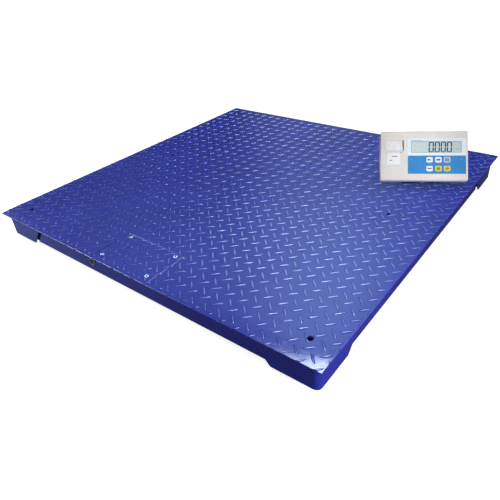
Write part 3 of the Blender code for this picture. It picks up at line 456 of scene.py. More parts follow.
def add_lathe(bm, profile, steps=32, place=None):
    """Closed turned shape from (radius, height) points that start and end on the axis."""
    rings = [[(x, y, height) for x, y in disc(0, 0, radius, steps)] for radius, height in profile[1:-1]]
    before = len(bm.verts)
    rows = skin(bm, rings)
    for (radius, height), row in ((profile[0], rows[0]), (profile[-1], rows[-1])):
        tip = bm.verts.new((0, 0, height))
        for k in range(steps):
            bm.faces.new((tip, row[k], row[(k + 1) % steps]))
    bm.verts.ensure_lookup_table()
    bmesh.ops.transform(bm, matrix=place or Matrix(), verts=bm.verts[before:])


def sheet(outline, holes, low, high):
    """Closed sheet with holes through it."""
    bm = bmesh.new()
    edges = []
    for loop in [outline] + holes:
        verts = [bm.verts.new((u, v, low)) for u, v in loop]
        edges += [bm.edges.new((verts[k - 1], verts[k])) for k in range(len(verts))]
    bmesh.ops.triangle_fill(bm, use_beauty=True, use_dissolve=False, edges=edges)
    grown = bmesh.ops.extrude_face_region(bm, geom=bm.faces[:], use_keep_orig=True)
    raised = [g for g in grown["geom"] if isinstance(g, bmesh.types.BMVert)]
    bmesh.ops.translate(bm, verts=raised, vec=(0, 0, high - low))
    return bm


def placed(name, bm, body, finish, place=FACE, replaces=(), smooth=False):
    """Turn a shape into a piece that rides on a body."""
    bmesh.ops.recalc_face_normals(bm, faces=bm.faces)
    bm.transform(place)
    piece = new_piece(name, to_mesh(bm, name, smooth), body, finish, replaces)
    if smooth:
        piece.data.set_sharp_from_angle(angle=math.radians(38))
    return piece


# ---------------- tread plate
def lug_cell():
    """One cell as (s, t, z): its border, which bulges past the lug's ends, then the lug's rings."""
    half = LUG_CELL / 2
    points = []
    for i in range(4):
        side = Matrix.Rotation(math.radians(90 * i), 2)
        for k in range(4):
            bulge = LUG_CELL_BULGE * math.sin(math.pi * k / 4)
            out = half - bulge if i % 2 == 0 else half + bulge
            spot = side @ Vector((half * (k / 2 - 1), -out))
            points.append((spot.x, spot.y, 0.0))
    for along, across, height in LUG_RINGS:
        for k in range(LUG_SIDES):
            angle = math.radians(-135 + 360 / LUG_SIDES * k)
            wide = math.sin(angle) * abs(math.sin(angle)) ** LUG_POINTING
            points.append((LUG_HALF_LENGTH * along * math.cos(angle),
                           LUG_HALF_WIDTH * across * wide, LUG_HEIGHT * height))
    return points


def tread_surface(x, y):
    """Tread pattern over a rectangle, with whole cells over its edges."""
    cell = lug_cell()
    reach = math.hypot(x[1] - x[0], y[1] - y[0]) / 2 + LUG_CELL
    middle = Vector(((x[0] + x[1]) / 2, (y[0] + y[1]) / 2))
    start = Vector(LUG_START)
    diagonal = Matrix.Rotation(math.radians(45), 2)
    centre = diagonal.inverted() @ (middle - start)
    count = int(reach / LUG_CELL) + 1
    ci, cj = round(centre.x / LUG_CELL), round(centre.y / LUG_CELL)
    points, faces, corner_index = [], [], {}
    for i in range(ci - count, ci + count + 1):
        for j in range(cj - count, cj + count + 1):
            place = start + diagonal @ Vector((i * LUG_CELL, j * LUG_CELL))
            near_x = x[0] - LUG_CELL < place.x < x[1] + LUG_CELL
            near_y = y[0] - LUG_CELL < place.y < y[1] + LUG_CELL
            if not (near_x and near_y):
                continue
            turned = (i + j) % 2
            indices = []
            for k, (s, t, z) in enumerate(cell):
                s, t = (-t, s) if turned else (s, t)
                flat = place + diagonal @ Vector((s, t))
                if k < LUG_SIDES:
                    key = (round(flat.x, 5), round(flat.y, 5))
                    if key not in corner_index:
                        corner_index[key] = len(points)
                        points.append((flat.x, flat.y, PLATE_TOP))
                    indices.append(corner_index[key])
                else:
                    indices.append(len(points))
                    points.append((flat.x, flat.y, PLATE_TOP + z))
            for ring in range(len(LUG_RINGS)):
                below = indices[ring * LUG_SIDES:(ring + 1) * LUG_SIDES]
                above = indices[(ring + 1) * LUG_SIDES:(ring + 2) * LUG_SIDES]
                for k in range(LUG_SIDES):
                    after = (k + 1) % LUG_SIDES
                    faces.append((below[k], below[after], above[after], above[k]))
            faces.append(indices[-LUG_SIDES:])
    mesh = bpy.data.meshes.new("tread")
    mesh.from_pydata(points, [], faces)
    bm = bmesh.new()
    bm.from_mesh(mesh)
    bpy.data.meshes.remove(mesh)
    flat = [v for v in bm.verts if abs(v.co.z - PLATE_TOP) < 1e-7]
    bmesh.ops.remove_doubles(bm, verts=flat, dist=WELD)
    return bm


def trim(bm, geometry, place, normal, keep_both=False):
    done = bmesh.ops.bisect_plane(bm, geom=geometry, dist=1e-6, plane_co=place, plane_no=normal,
                                  clear_outer=not keep_both)
    return done["geom"]


def everything(bm):
    return bm.verts[:] + bm.edges[:] + bm.faces[:]


def with_borders(faces):
    """Faces together with their edges and vertices."""
    return list({e for f in faces for e in f.edges} | {v for f in faces for v in f.verts}) + faces


def punch(bm, x, y, radius, sides=16, reach=0.04):
    """Cut a round hole through the surface by trimming along its sides."""
    near = []
    for f in bm.faces:
        middle = f.calc_center_median()
        if abs(middle.x - x) < reach and abs(middle.y - y) < reach:
            near.append(f)
    geometry = with_borders(near)
    for k in range(sides):
        angle = 2 * math.pi * (k + 0.5) / sides
        normal = Vector((math.cos(angle), math.sin(angle), 0))
        geometry = trim(bm, geometry, Vector((x, y, 0)) + normal * radius, normal, True)
    inside = []
    for g in geometry:
        if isinstance(g, bmesh.types.BMFace) and g.is_valid:
            middle = g.calc_center_median()
            if math.hypot(middle.x - x, middle.y - y) < radius * 0.999:
                inside.append(g)
    bmesh.ops.delete(bm, geom=inside, context="FACES")


def close_plate(bm, shift):
    """Chamfer the border of the surface, run it down to the underside and fill that in."""
    border = [e for e in bm.edges if e.is_boundary]
    for round_depth, moves in ((CHAMFER, True), (0.0, False)):
        grown = bmesh.ops.extrude_edge_only(bm, edges=border)["geom"]
        for e in border:
            e.smooth = False
        border = [g for g in grown if isinstance(g, bmesh.types.BMEdge)]
        for v in [g for g in grown if isinstance(g, bmesh.types.BMVert)]:
            if moves:
                v.co += shift(v.co)
                v.co.z -= round_depth
            else:
                v.co.z = DECK_UNDER
    for e in border:
        e.smooth = False
    bmesh.ops.triangle_fill(bm, use_beauty=False, use_dissolve=False, edges=border)
    bmesh.ops.recalc_face_normals(bm, faces=bm.faces)


def sag_edges(bm):
    """Let the top surface dip a little towards the deck's welded front and right edges."""
    for v in bm.verts:
        if v.co.z < DECK_UNDER + 0.0001:
            continue
        for distance, depth in ((v.co.y - deck_low.y, EDGE_SAG), (deck_high.x - v.co.x, EDGE_SAG / 2)):
            if distance < EDGE_SAG_REACH:
                v.co.z -= depth * (1 - distance / EDGE_SAG_REACH) ** 2


def border_shift(x, y, notch, holes):
    """How far a border point moves out for the chamfer."""
    near = WELD

    def shift(co):
        for hx, hy, radius in holes:
            away = Vector((co.x - hx, co.y - hy, 0))
            if away.length < radius + HOLE_MARGIN:
                return -away.normalized() * CHAMFER
        move = Vector((0, 0, 0))
        move.x = CHAMFER * ((abs(co.x - x[1]) < near) - (abs(co.x - x[0]) < near))
        move.y = CHAMFER * ((abs(co.y - y[1]) < near) - (abs(co.y - y[0]) < near))
        if notch and co.y < notch[2] + near and notch[0] - near < co.x < notch[1] + near:
            move.x += CHAMFER * (NOTCH_LEFT * (abs(co.x - notch[0]) < near) - (abs(co.x - notch[1]) < near))
            move.y -= CHAMFER * (abs(co.y - notch[2]) < near)
        return move
    return shift


def tread_plate(name, x, y, holes, body, replaced, notch=None):
    """A closed piece of tread plate between x and y, with round holes and perhaps a notch at its front."""
    x, y = (x[0] + CHAMFER, x[1] - CHAMFER), (y[0] + CHAMFER, y[1] - CHAMFER)
    bm = tread_surface(x, y)
    for place, normal in (((x[0], 0, 0), (-1, 0, 0)), ((x[1], 0, 0), (1, 0, 0)),
                          ((0, y[0], 0), (0, -1, 0)), ((0, y[1], 0), (0, 1, 0))):
        trim(bm, everything(bm), place, normal)
    if notch:
        notch = (notch[0] - CHAMFER, notch[1] + CHAMFER, notch[2] + CHAMFER)
        front = [f for f in bm.faces if f.calc_center_median().y < notch[2] + 0.03]
        geometry = with_borders(front)
        for place, normal in (((notch[0], 0, 0), (1, 0, 0)), ((notch[1], 0, 0), (1, 0, 0)),
                              ((0, notch[2], 0), (0, 1, 0))):
            geometry = trim(bm, geometry, place, normal, True)
        gone = [f for f in bm.faces if notch[0] < f.calc_center_median().x < notch[1]
                and f.calc_center_median().y < notch[2]]
        bmesh.ops.delete(bm, geom=gone, context="FACES")
    for hx, hy, radius in holes:
        punch(bm, hx, hy, radius + CHAMFER)
    close_plate(bm, border_shift(x, y, notch, [(hx, hy, r + CHAMFER) for hx, hy, r in holes]))
    sag_edges(bm)
    piece = new_piece(name, to_mesh(bm, name), body, "paint", replaced)
    piece.data.set_sharp_from_angle(angle=LUG_SHARP)
    return piece


def middle_of(node):
    low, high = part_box(node)
    return (low + high) / 2


def build_plates():
    feet = [middle_of(f"foot_stem_{corner}") for corner in CORNERS]
    holes = [(foot.x, foot.y, ACCESS_HOLE_RADIUS) for foot in feet]
    holes += [(x, y, LIFT_HOLE_RADIUS) for x, y in LIFT_HOLES]
    notch = (hatch_low.x - HATCH_GAP, hatch_high.x + HATCH_GAP, hatch_high.y + HATCH_GAP)
    tread_plate("tread_deck", (deck_low.x, deck_high.x), (deck_low.y, deck_high.y), holes,
                "platform", ["deck_plate"], notch)
    screws = [middle_of(node) for node in NODES if node.startswith("hatch_screw")]
    tread_plate("tread_hatch", (hatch_low.x, hatch_high.x), (hatch_low.y, hatch_high.y),
                [(screw.x, screw.y, SCREW_HOLE_RADIUS) for screw in screws], "hatch", ["hatch_cover"])


# ---------------- indicator face
def shrunk(span, by):
    return span[0] + by, span[1] - by


OVERLAY_U, OVERLAY_V, OVERLAY_ROUND = (-0.0484, 0.1260), (0.0222, 0.1361), 0.0015
FILM_LOW, FILM_HIGH = -0.00098, -0.00018
FILM_ROOT, FILM_PRINT = 0.0001, 0.00006
BLUE_U, BLUE_V, BLUE_ROUND = shrunk(OVERLAY_U, 0.0002), (0.0224, 0.0806), 0.0012
WINDOW_U, WINDOW_V, WINDOW_ROUND = (-0.0385, 0.1129), (0.0903, 0.1267), 0.0008
# Printed bars are middle, half width, half height and, where they are round, the corner radius.
OVERLAY_RULE = (-0.0212, 0.1296, 0.0175, 0.00085, 0.0008)
OVERLAY_DOTS = ((-0.0378, 0.0678), (0.1120, 0.0686), (-0.0392, 0.0250))
OVERLAY_DOT = (0.0009, 0.0005)
KEY_US = (0.0175, 0.0440, 0.0700)
KEY_VS = (0.0670, 0.0390)
KEY_HALF = (0.0095, 0.0083)
KEY_PLAY = 0.0004
KEY_ROUND = 0.0032
KEY_ROOT, KEY_TOP, KEY_EDGE = -0.0036, 0.0006, 0.0005
KEY_PRINT, KEY_SIGN = 0.0001, 0.00025
KEY_DASH, KEY_DASH_DROP = (0.0022, 0.0004), 0.0022
FLANGE_WIDTH, FLANGE_SPAN = 0.0010, (-0.0050, -0.0034)
KEY_FINISH = ("key_white", "key_white", "key_grey", "key_white", "key_yellow", "key_yellow")
MODULE_LAP, MODULE_SPAN = 0.0055, (-0.0100, -0.0032)
GLASS_PLAY, GLASS_ROUND, GLASS_EDGE = 0.0005, 0.0006, 0.0001
GLASS_LOW, GLASS_TOP = -0.0034, -0.0012
# The grey frame round the glass is painted shade along the edge of the window's recess.
RECESS_SHADE_PLAY, RECESS_SHADE_ROUND, RECESS_SHADE_WIDTH = 0.0007, 0.0008, 0.0010
RECESS_SHADE_ROOT, RECESS_SHADE_RISE = 0.0002, 0.0006
DIGIT_US = (0.0161, 0.0345, 0.0525, 0.0707)
DIGIT_V = (0.0925, 0.1240)
DIGIT_WIDTH = 0.0118
DIGIT_STROKE = 0.0038
DIGIT_LEAN = math.tan(math.radians(2))
DIGIT_PRINT, MARK_PRINT = 0.00008, 0.00006
DIGIT_GAP = 0.0003
DECIMAL_POINT = (DIGIT_US[1] - 0.0027, DIGIT_V[0] - 0.0002, 0.0010, 0.0010)
# Small signs beside the digits.
DISPLAY_MARKS = ((-0.0280, 0.1148, 0.0022, 0.0007), (-0.0243, 0.1148, 0.0008, 0.0011),
                 (-0.0280, 0.0992, 0.0016, 0.0009), (-0.0248, 0.0985, 0.0014, 0.0006),
                 (0.0945, 0.1020, 0.0013, 0.0020, 0.0005), (0.1000, 0.1020, 0.0014, 0.0016, 0.0006),
                 (0.1068, 0.1030, 0.0024, 0.0008), (0.1062, 0.0995, 0.0018, 0.0006),
                 (0.1040, 0.1195, 0.0030, 0.0005))
DISPLAY_ARROW = ((0.0922, 0.1170), (0.0952, 0.1170), (0.0937, 0.1194))


def key_name(index):
    return f"key_{index // 3 + 1}_{index % 3 + 1}"


def key_centre(index):
    return KEY_US[index % 3], KEY_VS[index // 3]


def add_print(bm, outline, surface, thick, root=0.0002):
    """Ink that stands a little proud of a surface and reaches a little into it."""
    add_slab(bm, outline, surface - root, surface + thick)


def build_overlay():
    """White film with a printed blue field, both cut out round the keys."""
    half_u, half_v = KEY_HALF[0] + KEY_PLAY, KEY_HALF[1] + KEY_PLAY
    holes = [rounded((u - half_u, u + half_u), (v - half_v, v + half_v), KEY_ROUND)
             for u, v in map(key_centre, range(6))]
    window = rounded(WINDOW_U, WINDOW_V, WINDOW_ROUND)
    film = sheet(rounded(OVERLAY_U, OVERLAY_V, OVERLAY_ROUND), holes + [window], FILM_LOW, FILM_HIGH)
    placed("overlay_film", film, "indicator", "film_white", replaces=["front_overlay"])
    blue = rounded(BLUE_U, BLUE_V, BLUE_ROUND)
    field = sheet(blue, holes, FILM_HIGH - FILM_ROOT, FILM_HIGH + FILM_PRINT)
    placed("overlay_blue", field, "indicator", "film_blue")
    bm = bmesh.new()
    add_print(bm, bar(*OVERLAY_RULE), FILM_HIGH, FILM_PRINT, FILM_ROOT)
    placed("overlay_rule", bm, "indicator", "ink_teal")
    bm = bmesh.new()
    dashes = [bar(u, v, *OVERLAY_DOT) for u, v in OVERLAY_DOTS]
    for u, v in map(key_centre, range(6)):
        dashes.append(bar(u, v - KEY_HALF[1] - KEY_DASH_DROP, *KEY_DASH))
    for dash in dashes:
        add_print(bm, dash, FILM_HIGH, 2 * FILM_PRINT, FILM_ROOT)
    placed("overlay_marks", bm, "indicator", "film_white")


def add_digit(bm, left, segments):
    """Leaning seven-segment digit; segments are letters a to g."""
    low, high = DIGIT_V
    middle = (low + high) / 2
    right, half = left + DIGIT_WIDTH, DIGIT_STROKE / 2
    ends = {"a": ((left, high), (right, high)), "d": ((left, low), (right, low)),
            "g": ((left, middle), (right, middle)), "f": ((left, middle), (left, high)),
            "b": ((right, middle), (right, high)), "e": ((left, low), (left, middle)),
            "c": ((right, low), (right, middle))}
    for letter in segments:
        (u0, v0), (u1, v1) = ends[letter]
        along = Vector((u1 - u0, v1 - v0)).normalized()
        across = Vector((-along.y, along.x)) * half
        start, end = Vector((u0, v0)) + along * DIGIT_GAP, Vector((u1, v1)) - along * DIGIT_GAP
        outline = [start, start + along * half - across, end - along * half - across, end,
                   end - along * half + across, start + along * half + across]
        add_print(bm, [(q.x + (q.y - low) * DIGIT_LEAN, q.y) for q in outline], GLASS_TOP, DIGIT_PRINT)


def build_display():
    """Glass with a thin grey frame that paints the shade along the edge of the window's recess, four digits
    showing zero and small marks.
    """
    module, glass, border = (
        rounded(shrunk(WINDOW_U, play), shrunk(WINDOW_V, play), radius)
        for play, radius in ((-MODULE_LAP, 0.0), (GLASS_PLAY, GLASS_ROUND), (RECESS_SHADE_PLAY, RECESS_SHADE_ROUND)))
    bm = bmesh.new()
    add_slab(bm, module, *MODULE_SPAN)
    add_slab(bm, glass, GLASS_LOW, GLASS_TOP, GLASS_EDGE)
    placed("display_glass", bm, "indicator", "lcd", replaces=["lcd_module"])
    # Painted shade: a thin grey frame round the glass for the recess edge.
    bm = bmesh.new()
    add_ring(bm, border, RECESS_SHADE_WIDTH, GLASS_TOP - RECESS_SHADE_ROOT, GLASS_TOP + RECESS_SHADE_RISE, GLASS_EDGE)
    placed("display_recess_shade", bm, "indicator", "ink_grey")
    bm = bmesh.new()
    for left in DIGIT_US:
        add_digit(bm, left, "abcdef")
    add_print(bm, bar(*DECIMAL_POINT), GLASS_TOP, DIGIT_PRINT)
    placed("display_digits", bm, "indicator", "segment")
    bm = bmesh.new()
    for mark in DISPLAY_MARKS:
        add_print(bm, bar(*mark), GLASS_TOP, MARK_PRINT)
    add_print(bm, DISPLAY_ARROW, GLASS_TOP, MARK_PRINT)
    placed("display_marks", bm, "indicator", "ink_mist")


def key_symbol(index, u, v):
    """Generic signs on the caps: a list of outlines and their ink."""
    if index == 0:
        arrow = [(u + 0.0006, v - 0.0019), (u + 0.0052, v - 0.0019), (u + 0.0029, v + 0.0019)]
        return "ink_dark", [bar(u - 0.0030, v, 0.0030, 0.0026, 0.0006), arrow]
    if index == 1:
        return "ink_dark", [bar(u + side * 0.0030, v, 0.0026, 0.0027, 0.0006) for side in (-1, 1)]
    if index == 2:
        return "ink_grey", [rounded((u - 0.0062, u + 0.0062), (v - 0.0052, v + 0.0052), 0.0018)]
    if index == 3:
        steps = (-1.5, -0.5, 0.5, 1.5)
        return "ink_dark", [bar(u + k * 0.0032, v, 0.0013, 0.0017 + 0.0003 * (k % 2)) for k in steps]
    if index == 4:
        return "ink_olive", [disc(u, v, 0.0052)]
    return "ink_olive", [[(u - 0.0068, v), (u, v - 0.0044), (u + 0.0068, v), (u, v + 0.0044)]]


def build_keys():
    """Rounded caps on their flanges, each with a raised sign."""
    for index in range(6):
        name, (u, v) = key_name(index), key_centre(index)
        bm = bmesh.new()
        add_slab(bm, bar(u, v, *(half + FLANGE_WIDTH for half in KEY_HALF)), *FLANGE_SPAN)
        add_slab(bm, bar(u, v, *KEY_HALF, KEY_ROUND), KEY_ROOT, KEY_TOP, KEY_EDGE)
        placed(f"{name}_cap_shape", bm, f"{name}_cap", KEY_FINISH[index], replaces=[name])
        ink, outlines = key_symbol(index, u, v)
        bm = bmesh.new()
        for outline in outlines:
            add_print(bm, outline, KEY_TOP, KEY_PRINT)
        if index == 4:
            add_ring(bm, disc(u, v, 0.0034), 0.0010, KEY_TOP, KEY_TOP + KEY_SIGN)
        if index == 5:
            add_slab(bm, bar(u, v, 0.0030, 0.0010, 0.0006), KEY_TOP, KEY_TOP + KEY_SIGN)
        placed(f"{name}_sign", bm, f"{name}_cap", ink)


PRINTER_U, PRINTER_V, PRINTER_ROUND = (-0.1150, -0.0656), (0.0968, 0.1290), 0.0012
PRINTER_SPAN, PRINTER_EDGE = (-0.0022, 0.0004), 0.0006
RIB_US, RIB_V = ((-0.1076, -0.0914), (-0.0866, -0.0708)), (0.0984, 0.1236)
RIB_WIDTH, RIB_SPAN, RIB_EDGE = 0.0013, (0.0002, 0.0009), 0.0003
# Bars on the ticket: middle and half length.
TICKET_BARS = ((-0.0889, 0.0779, 0.0090), (-0.1000, 0.0655, 0.0038), (-0.1024, 0.0587, 0.0018))
TICKET_BAR_HALF, TICKET_SPAN = 0.0011, (0.0008, 0.00108)
LINES_U, LINES_V, LINES_ROUND = (-0.0516, 0.1287), (0.0050, 0.1532), 0.0020
LINES_WIDTH, LINES_SPAN, LINES_EDGE = 0.0006, (-0.0002, 0.00025), 0.0001


def arch(u, v, steps=12):
    """Upright outline with a round head."""
    radius = (u[1] - u[0]) / 2
    centre = (u[0] + u[1]) / 2
    angles = [math.pi * k / steps for k in range(steps + 1)]
    head = [(centre + radius * math.cos(angle), v[1] - radius + radius * math.sin(angle)) for angle in angles]
    return [(u[0], v[0]), (u[1], v[0])] + head


def build_printer():
    """Cover with two arched ribs, tinted pink as a painted shade line along them, and the print on the
    ticket.
    """
    bm = bmesh.new()
    add_slab(bm, rounded(PRINTER_U, PRINTER_V, PRINTER_ROUND), *PRINTER_SPAN, PRINTER_EDGE)
    placed("printer_cover_shape", bm, "printer_door", "white", replaces=["printer_cover"])
    bm = bmesh.new()
    for u in RIB_US:
        add_ring(bm, arch(u, RIB_V), RIB_WIDTH, *RIB_SPAN, RIB_EDGE)
    placed("printer_cover_ribs", bm, "printer_door", "rib_tint")
    bm = bmesh.new()
    for place in TICKET_BARS:
        add_slab(bm, bar(*place, TICKET_BAR_HALF), *TICKET_SPAN)
    placed("ticket_print", bm, "indicator", "ink_dark")


def build_case_lines():
    """Fine raised lines that frame the display side of the front cover."""
    bm = bmesh.new()
    add_ring(bm, rounded(LINES_U, LINES_V, LINES_ROUND), LINES_WIDTH, *LINES_SPAN, LINES_EDGE)
    placed("cover_lines", bm, "indicator", "case")


# ---------------- sockets, feet, strips and knobs
# Turned profiles as (radius, height).
INSULATOR_PROFILE = ((0, -0.0079), (0.0093, -0.0079), (0.0093, -0.0018), (0.0088, -0.0013),
                     (0.0078, -0.0013), (0.0074, -0.0030), (0, -0.0030))
PIN_PROFILE = ((0, -0.0034), (0.0006, -0.0034), (0.0006, -0.0002), (0, 0.0002))
PINS, PIN_CIRCLE, PIN_START, PIN_STEP = 5, 0.0042, 126, 72
SOCKET_RIB, SOCKET_RIB_SPAN = (0, 0.0070, 0.0012, 0.0010), (-0.0032, -0.0010)
SOCKET_RIM = 0.0036
REAR_SOCKET = (0.095, 0.120, -0.0580)


def build_socket_insert(name, place, body):
    """Black insulator with five pins and a key rib, set inside a panel socket."""
    bm = bmesh.new()
    add_lathe(bm, INSULATOR_PROFILE)
    add_slab(bm, bar(*SOCKET_RIB), *SOCKET_RIB_SPAN)
    placed(f"{name}_insulator", bm, body, "black", place, smooth=True)
    bm = bmesh.new()
    for k in range(PINS):
        angle = math.radians(PIN_START + PIN_STEP * k)
        spot = Matrix.Translation((PIN_CIRCLE * math.cos(angle), PIN_CIRCLE * math.sin(angle), 0))
        add_lathe(bm, PIN_PROFILE, 10, spot)
    placed(f"{name}_pins", bm, body, "zinc", place, smooth=True)


def build_sockets():
    middle = middle_of("signal_socket")
    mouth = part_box("signal_socket")[0].y + SOCKET_RIM
    place = Matrix.Translation((middle.x, mouth, middle.z))
    build_socket_insert("deck_socket", place @ Matrix.Rotation(math.pi / 2, 4, "X"), "platform")
    rear = FACE @ Matrix.Translation(REAR_SOCKET) @ Matrix.Rotation(math.pi, 4, "X")
    build_socket_insert("rear_socket", rear, "indicator")


# Heights above the floor.
PAD_PROFILE = (
    (0, 0.0054), (0.0276, 0.0054), (0.0276, 0.0085), (0.0292, 0.0085), (0.0299, 0.0079), (0.0300, 0.0062),
    (0.0294, 0.0056), (0.0294, 0.0050), (0.0300, 0.0044), (0.0300, 0.0032), (0.0294, 0.0026),
    (0.0294, 0.0020), (0.0300, 0.0014), (0.0296, 0.0003), (0.0290, 0.0), (0, 0.0))
CUP_PROFILE = (
    (0, 0.0084), (0.0030, 0.0086), (0.0053, 0.0107), (0.0056, 0.0180), (0.0064, 0.0206), (0.0090, 0.0212),
    (0.0112, 0.0208), (0.0125, 0.0196), (0.0145, 0.0168), (0.0170, 0.0148), (0.0210, 0.0132),
    (0.0255, 0.0121), (0.0268, 0.0117), (0.0274, 0.0109), (0.0275, 0.0100), (0.0275, 0.0056), (0, 0.0056))
FOOT_STEPS = 48


def build_feet():
    """Pressed cup on a rubber pad with a grooved rim, under each corner."""
    for corner in CORNERS:
        middle = middle_of(f"foot_pad_{corner}")
        place = Matrix.Translation((middle.x, middle.y, 0))
        for kind, profile, finish, slot in (("pad", PAD_PROFILE, "rubber", "rubber"),
                                            ("cup", CUP_PROFILE, "zinc", "zinc_steel")):
            bm = bmesh.new()
            add_lathe(bm, profile, FOOT_STEPS)
            placed(f"{kind}_{corner}", bm, f"foot_{corner}", finish, place,
                   [f"foot_{kind}_{corner}"], True)


# Dark sheets behind the skirt gaps are painted shade: they stand in for the shade inside each gap.
GAP_SHADE_LAP = (-0.006, 0.045)
GAP_SHADE_DEPTH = (-0.0024, 0.0002)
GAP_SHADE_EDGE = 0.0004
SIDES = ("front", "right", "rear", "left")


def build_gap_shade_sheets():
    """Black sheet behind the gap between each end of a skirt and the corner pocket, a painted shade that
    keeps the gap dark.
    """
    skirt = NODES["front_skirt"]
    points = [skirt.matrix_world @ v.co for v in skirt.data.vertices]
    low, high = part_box("front_skirt")
    head = max(p.x for p in points if p.z > high.z - 0.0001)
    foot = high.x
    inner = -high.y
    bm = bmesh.new()
    for sign in (-1, 1):
        outline = [(sign * (head + GAP_SHADE_LAP[0]), high.z), (sign * (head + GAP_SHADE_LAP[1]), high.z),
                   (sign * (foot + GAP_SHADE_LAP[1]), low.z), (sign * (foot + GAP_SHADE_LAP[0]), low.z)]
        add_slab(bm, outline, inner + GAP_SHADE_DEPTH[0], inner + GAP_SHADE_DEPTH[1], GAP_SHADE_EDGE)
    shape = to_mesh(bm, "gap_shade_sheet")
    for turn in range(4):
        bm = bmesh.new()
        bm.from_mesh(shape)
        place = Matrix.Rotation(math.pi / 2 * turn, 4, "Z") @ Matrix.Rotation(math.pi / 2, 4, "X")
        placed(f"gap_shade_sheets_{SIDES[turn]}", bm, "platform", "rubber", place)
    bpy.data.meshes.remove(shape)


KNOB_FACE = (0.0775, 0.085, -0.076)
INSERT_PROFILE = ((0, -0.0010), (0.0034, -0.0010), (0.0034, 0.0003), (0.0030, 0.0006), (0, 0.0006))
KNOB_RING, KNOB_RING_WIDTH, KNOB_RING_SPAN, KNOB_RING_EDGE = 0.0112, 0.0022, (-0.0008, 0.0008), 0.0004


def build_knob_caps():
    """Steel insert and a raised ring in the outer face of each bracket knob."""
    for side, sign in (("left", -1), ("right", 1)):
        outwards = Matrix.Rotation(sign * math.pi / 2, 4, "Y")
        place = FACE @ Matrix.Translation((sign * KNOB_FACE[0], *KNOB_FACE[1:])) @ outwards
        bm = bmesh.new()
        add_lathe(bm, INSERT_PROFILE, 24)
        placed(f"knob_insert_{side}", bm, f"knob_{side}", "zinc", place, smooth=True)
        bm = bmesh.new()
        add_ring(bm, disc(0, 0, KNOB_RING, 32), KNOB_RING_WIDTH, *KNOB_RING_SPAN, KNOB_RING_EDGE)
        placed(f"knob_ring_{side}", bm, f"knob_{side}", "black", place)


# ---------------- dressing of the CAD nodes
# Finish, width of the softened edges, and how the nodes' names start. A later line overrules an earlier one.
DRESS = (
    ("paint", 0.0, "deck_", "hatch_cover"),
    ("paint", 0.0008, *(f"{side}_skirt" for side in SIDES)),
    ("paint", 0.0012, "corner_pocket_"),
    ("screw", 0.0, "hatch_screw_"),
    ("cell", 0.0008, "load_cell_"),
    ("jacket", 0.0, "load_cell_cable_", "signal_cable"),
    ("zinc", 0.0, "foot_cup_", "print_head", "indicator_socket"),
    ("rubber", 0.0, "foot_pad_", "platen_roller"),
    ("black_oxide", 0.0, "foot_stem_"),
    ("box", 0.0012, "junction_box"),
    ("board", 0.0, "summing_board", "main_board"),
    # The signal socket's pale grey finish is a painted reflection.
    ("socket", 0.0, "signal_socket"),
    ("zinc", 0.0006, "tilt_bracket"),
    ("case", 0.0, "indicator_front_cover"),
    ("case", 0.0012, "indicator_rear_cover"),
    ("black", 0.0008, "bracket_knob_"),
    ("film_white", 0.0, "front_overlay"),
    ("lcd", 0.0, "lcd_module"),
    ("key_white", 0.0, "key_"),
    ("white", 0.0, "printer_cover"),
    ("paper", 0.0, "paper_"),
)


def dress_nodes():
    chosen = {}
    for finish, width, *starts in DRESS:
        for node in NODES:
            if node.startswith(tuple(starts)):
                chosen[node] = (finish, width)
    for node, (finish, width) in chosen.items():
        dress(node, finish, width)


def shade_reflections():
    """The pale indicator is kept out of the reflections in the gloss paint under it."""
    for piece in bpy.context.scene.objects:
        if piece.type != "MESH":
            continue
        corners = [piece.matrix_world @ Vector(corner) for corner in piece.bound_box]
        if sum(corner.z for corner in corners) / 8 > DECK_TOP + 0.001:
            piece.visible_glossy = piece.name == "tilt_bracket"


# ---------------- studio
FLOOR_GLOW = 0.84
FLOOR_GLOW_EDGE = (0.50, 0.545)
FLOOR_BOUNCE = (0.10, 0.10, 0.13)
FLOOR_SHEEN = (0.20, 0.0)
FLOOR_SHEEN_SPAN = (-0.6, 0.5)
FLOOR_SHEEN_TINT = (0.75, 0.95, 1.2)
FACE_LAMP = 0.065
RIGHT_LAMP = 5.5
FRONT_LAMP = 0.85
# Soft bright places seen only in reflections: azimuth, elevation, tightness, strength, colour.
GLOWS = (
    (118, 41.7, 38.8, 1.74, (0.62, 0.96, 1.19)),
    (148, 34.8, 55.0, 0.45, (0.62, 0.96, 1.19)),
    (-145, 24, 130.0, 11.0, (0.86, 0.84, 1.25)),
    (42, 38, 22.0, 7.0, (0.80, 0.84, 1.20)),
    (172, 24, 80.0, 0.9, (0.70, 0.94, 1.15)),
)
# Upright light panels seen in reflections: azimuth, half width, lower and upper edge, strength.
PANELS = (
    (110, 23.0, 50.6, 88.0, 17.0),
    (176, 13.0, 44.0, 78.0, 5.0),
    (121.6, 8.0, 2.0, 50.0, 0.20),
)
PANEL_BORDER = 1.5
PANEL_TINT = (0.80, 0.94, 1.12)
ROOM_GLOSS = (0.0, 0.0, 0.0)
# Top light: where it starts and is full, in degrees up, and its strength.
SKY = (10.0, 70.0, 1.05)
SKY_BASE = (0.04, 0.04, 0.045)


def heading(azimuth, elevation):
    """Unit vector towards an azimuth from +X and an elevation, in degrees."""
    a, e = math.radians(azimuth), math.radians(elevation)
    return Vector((math.cos(e) * math.cos(a), math.cos(e) * math.sin(a), math.sin(e)))


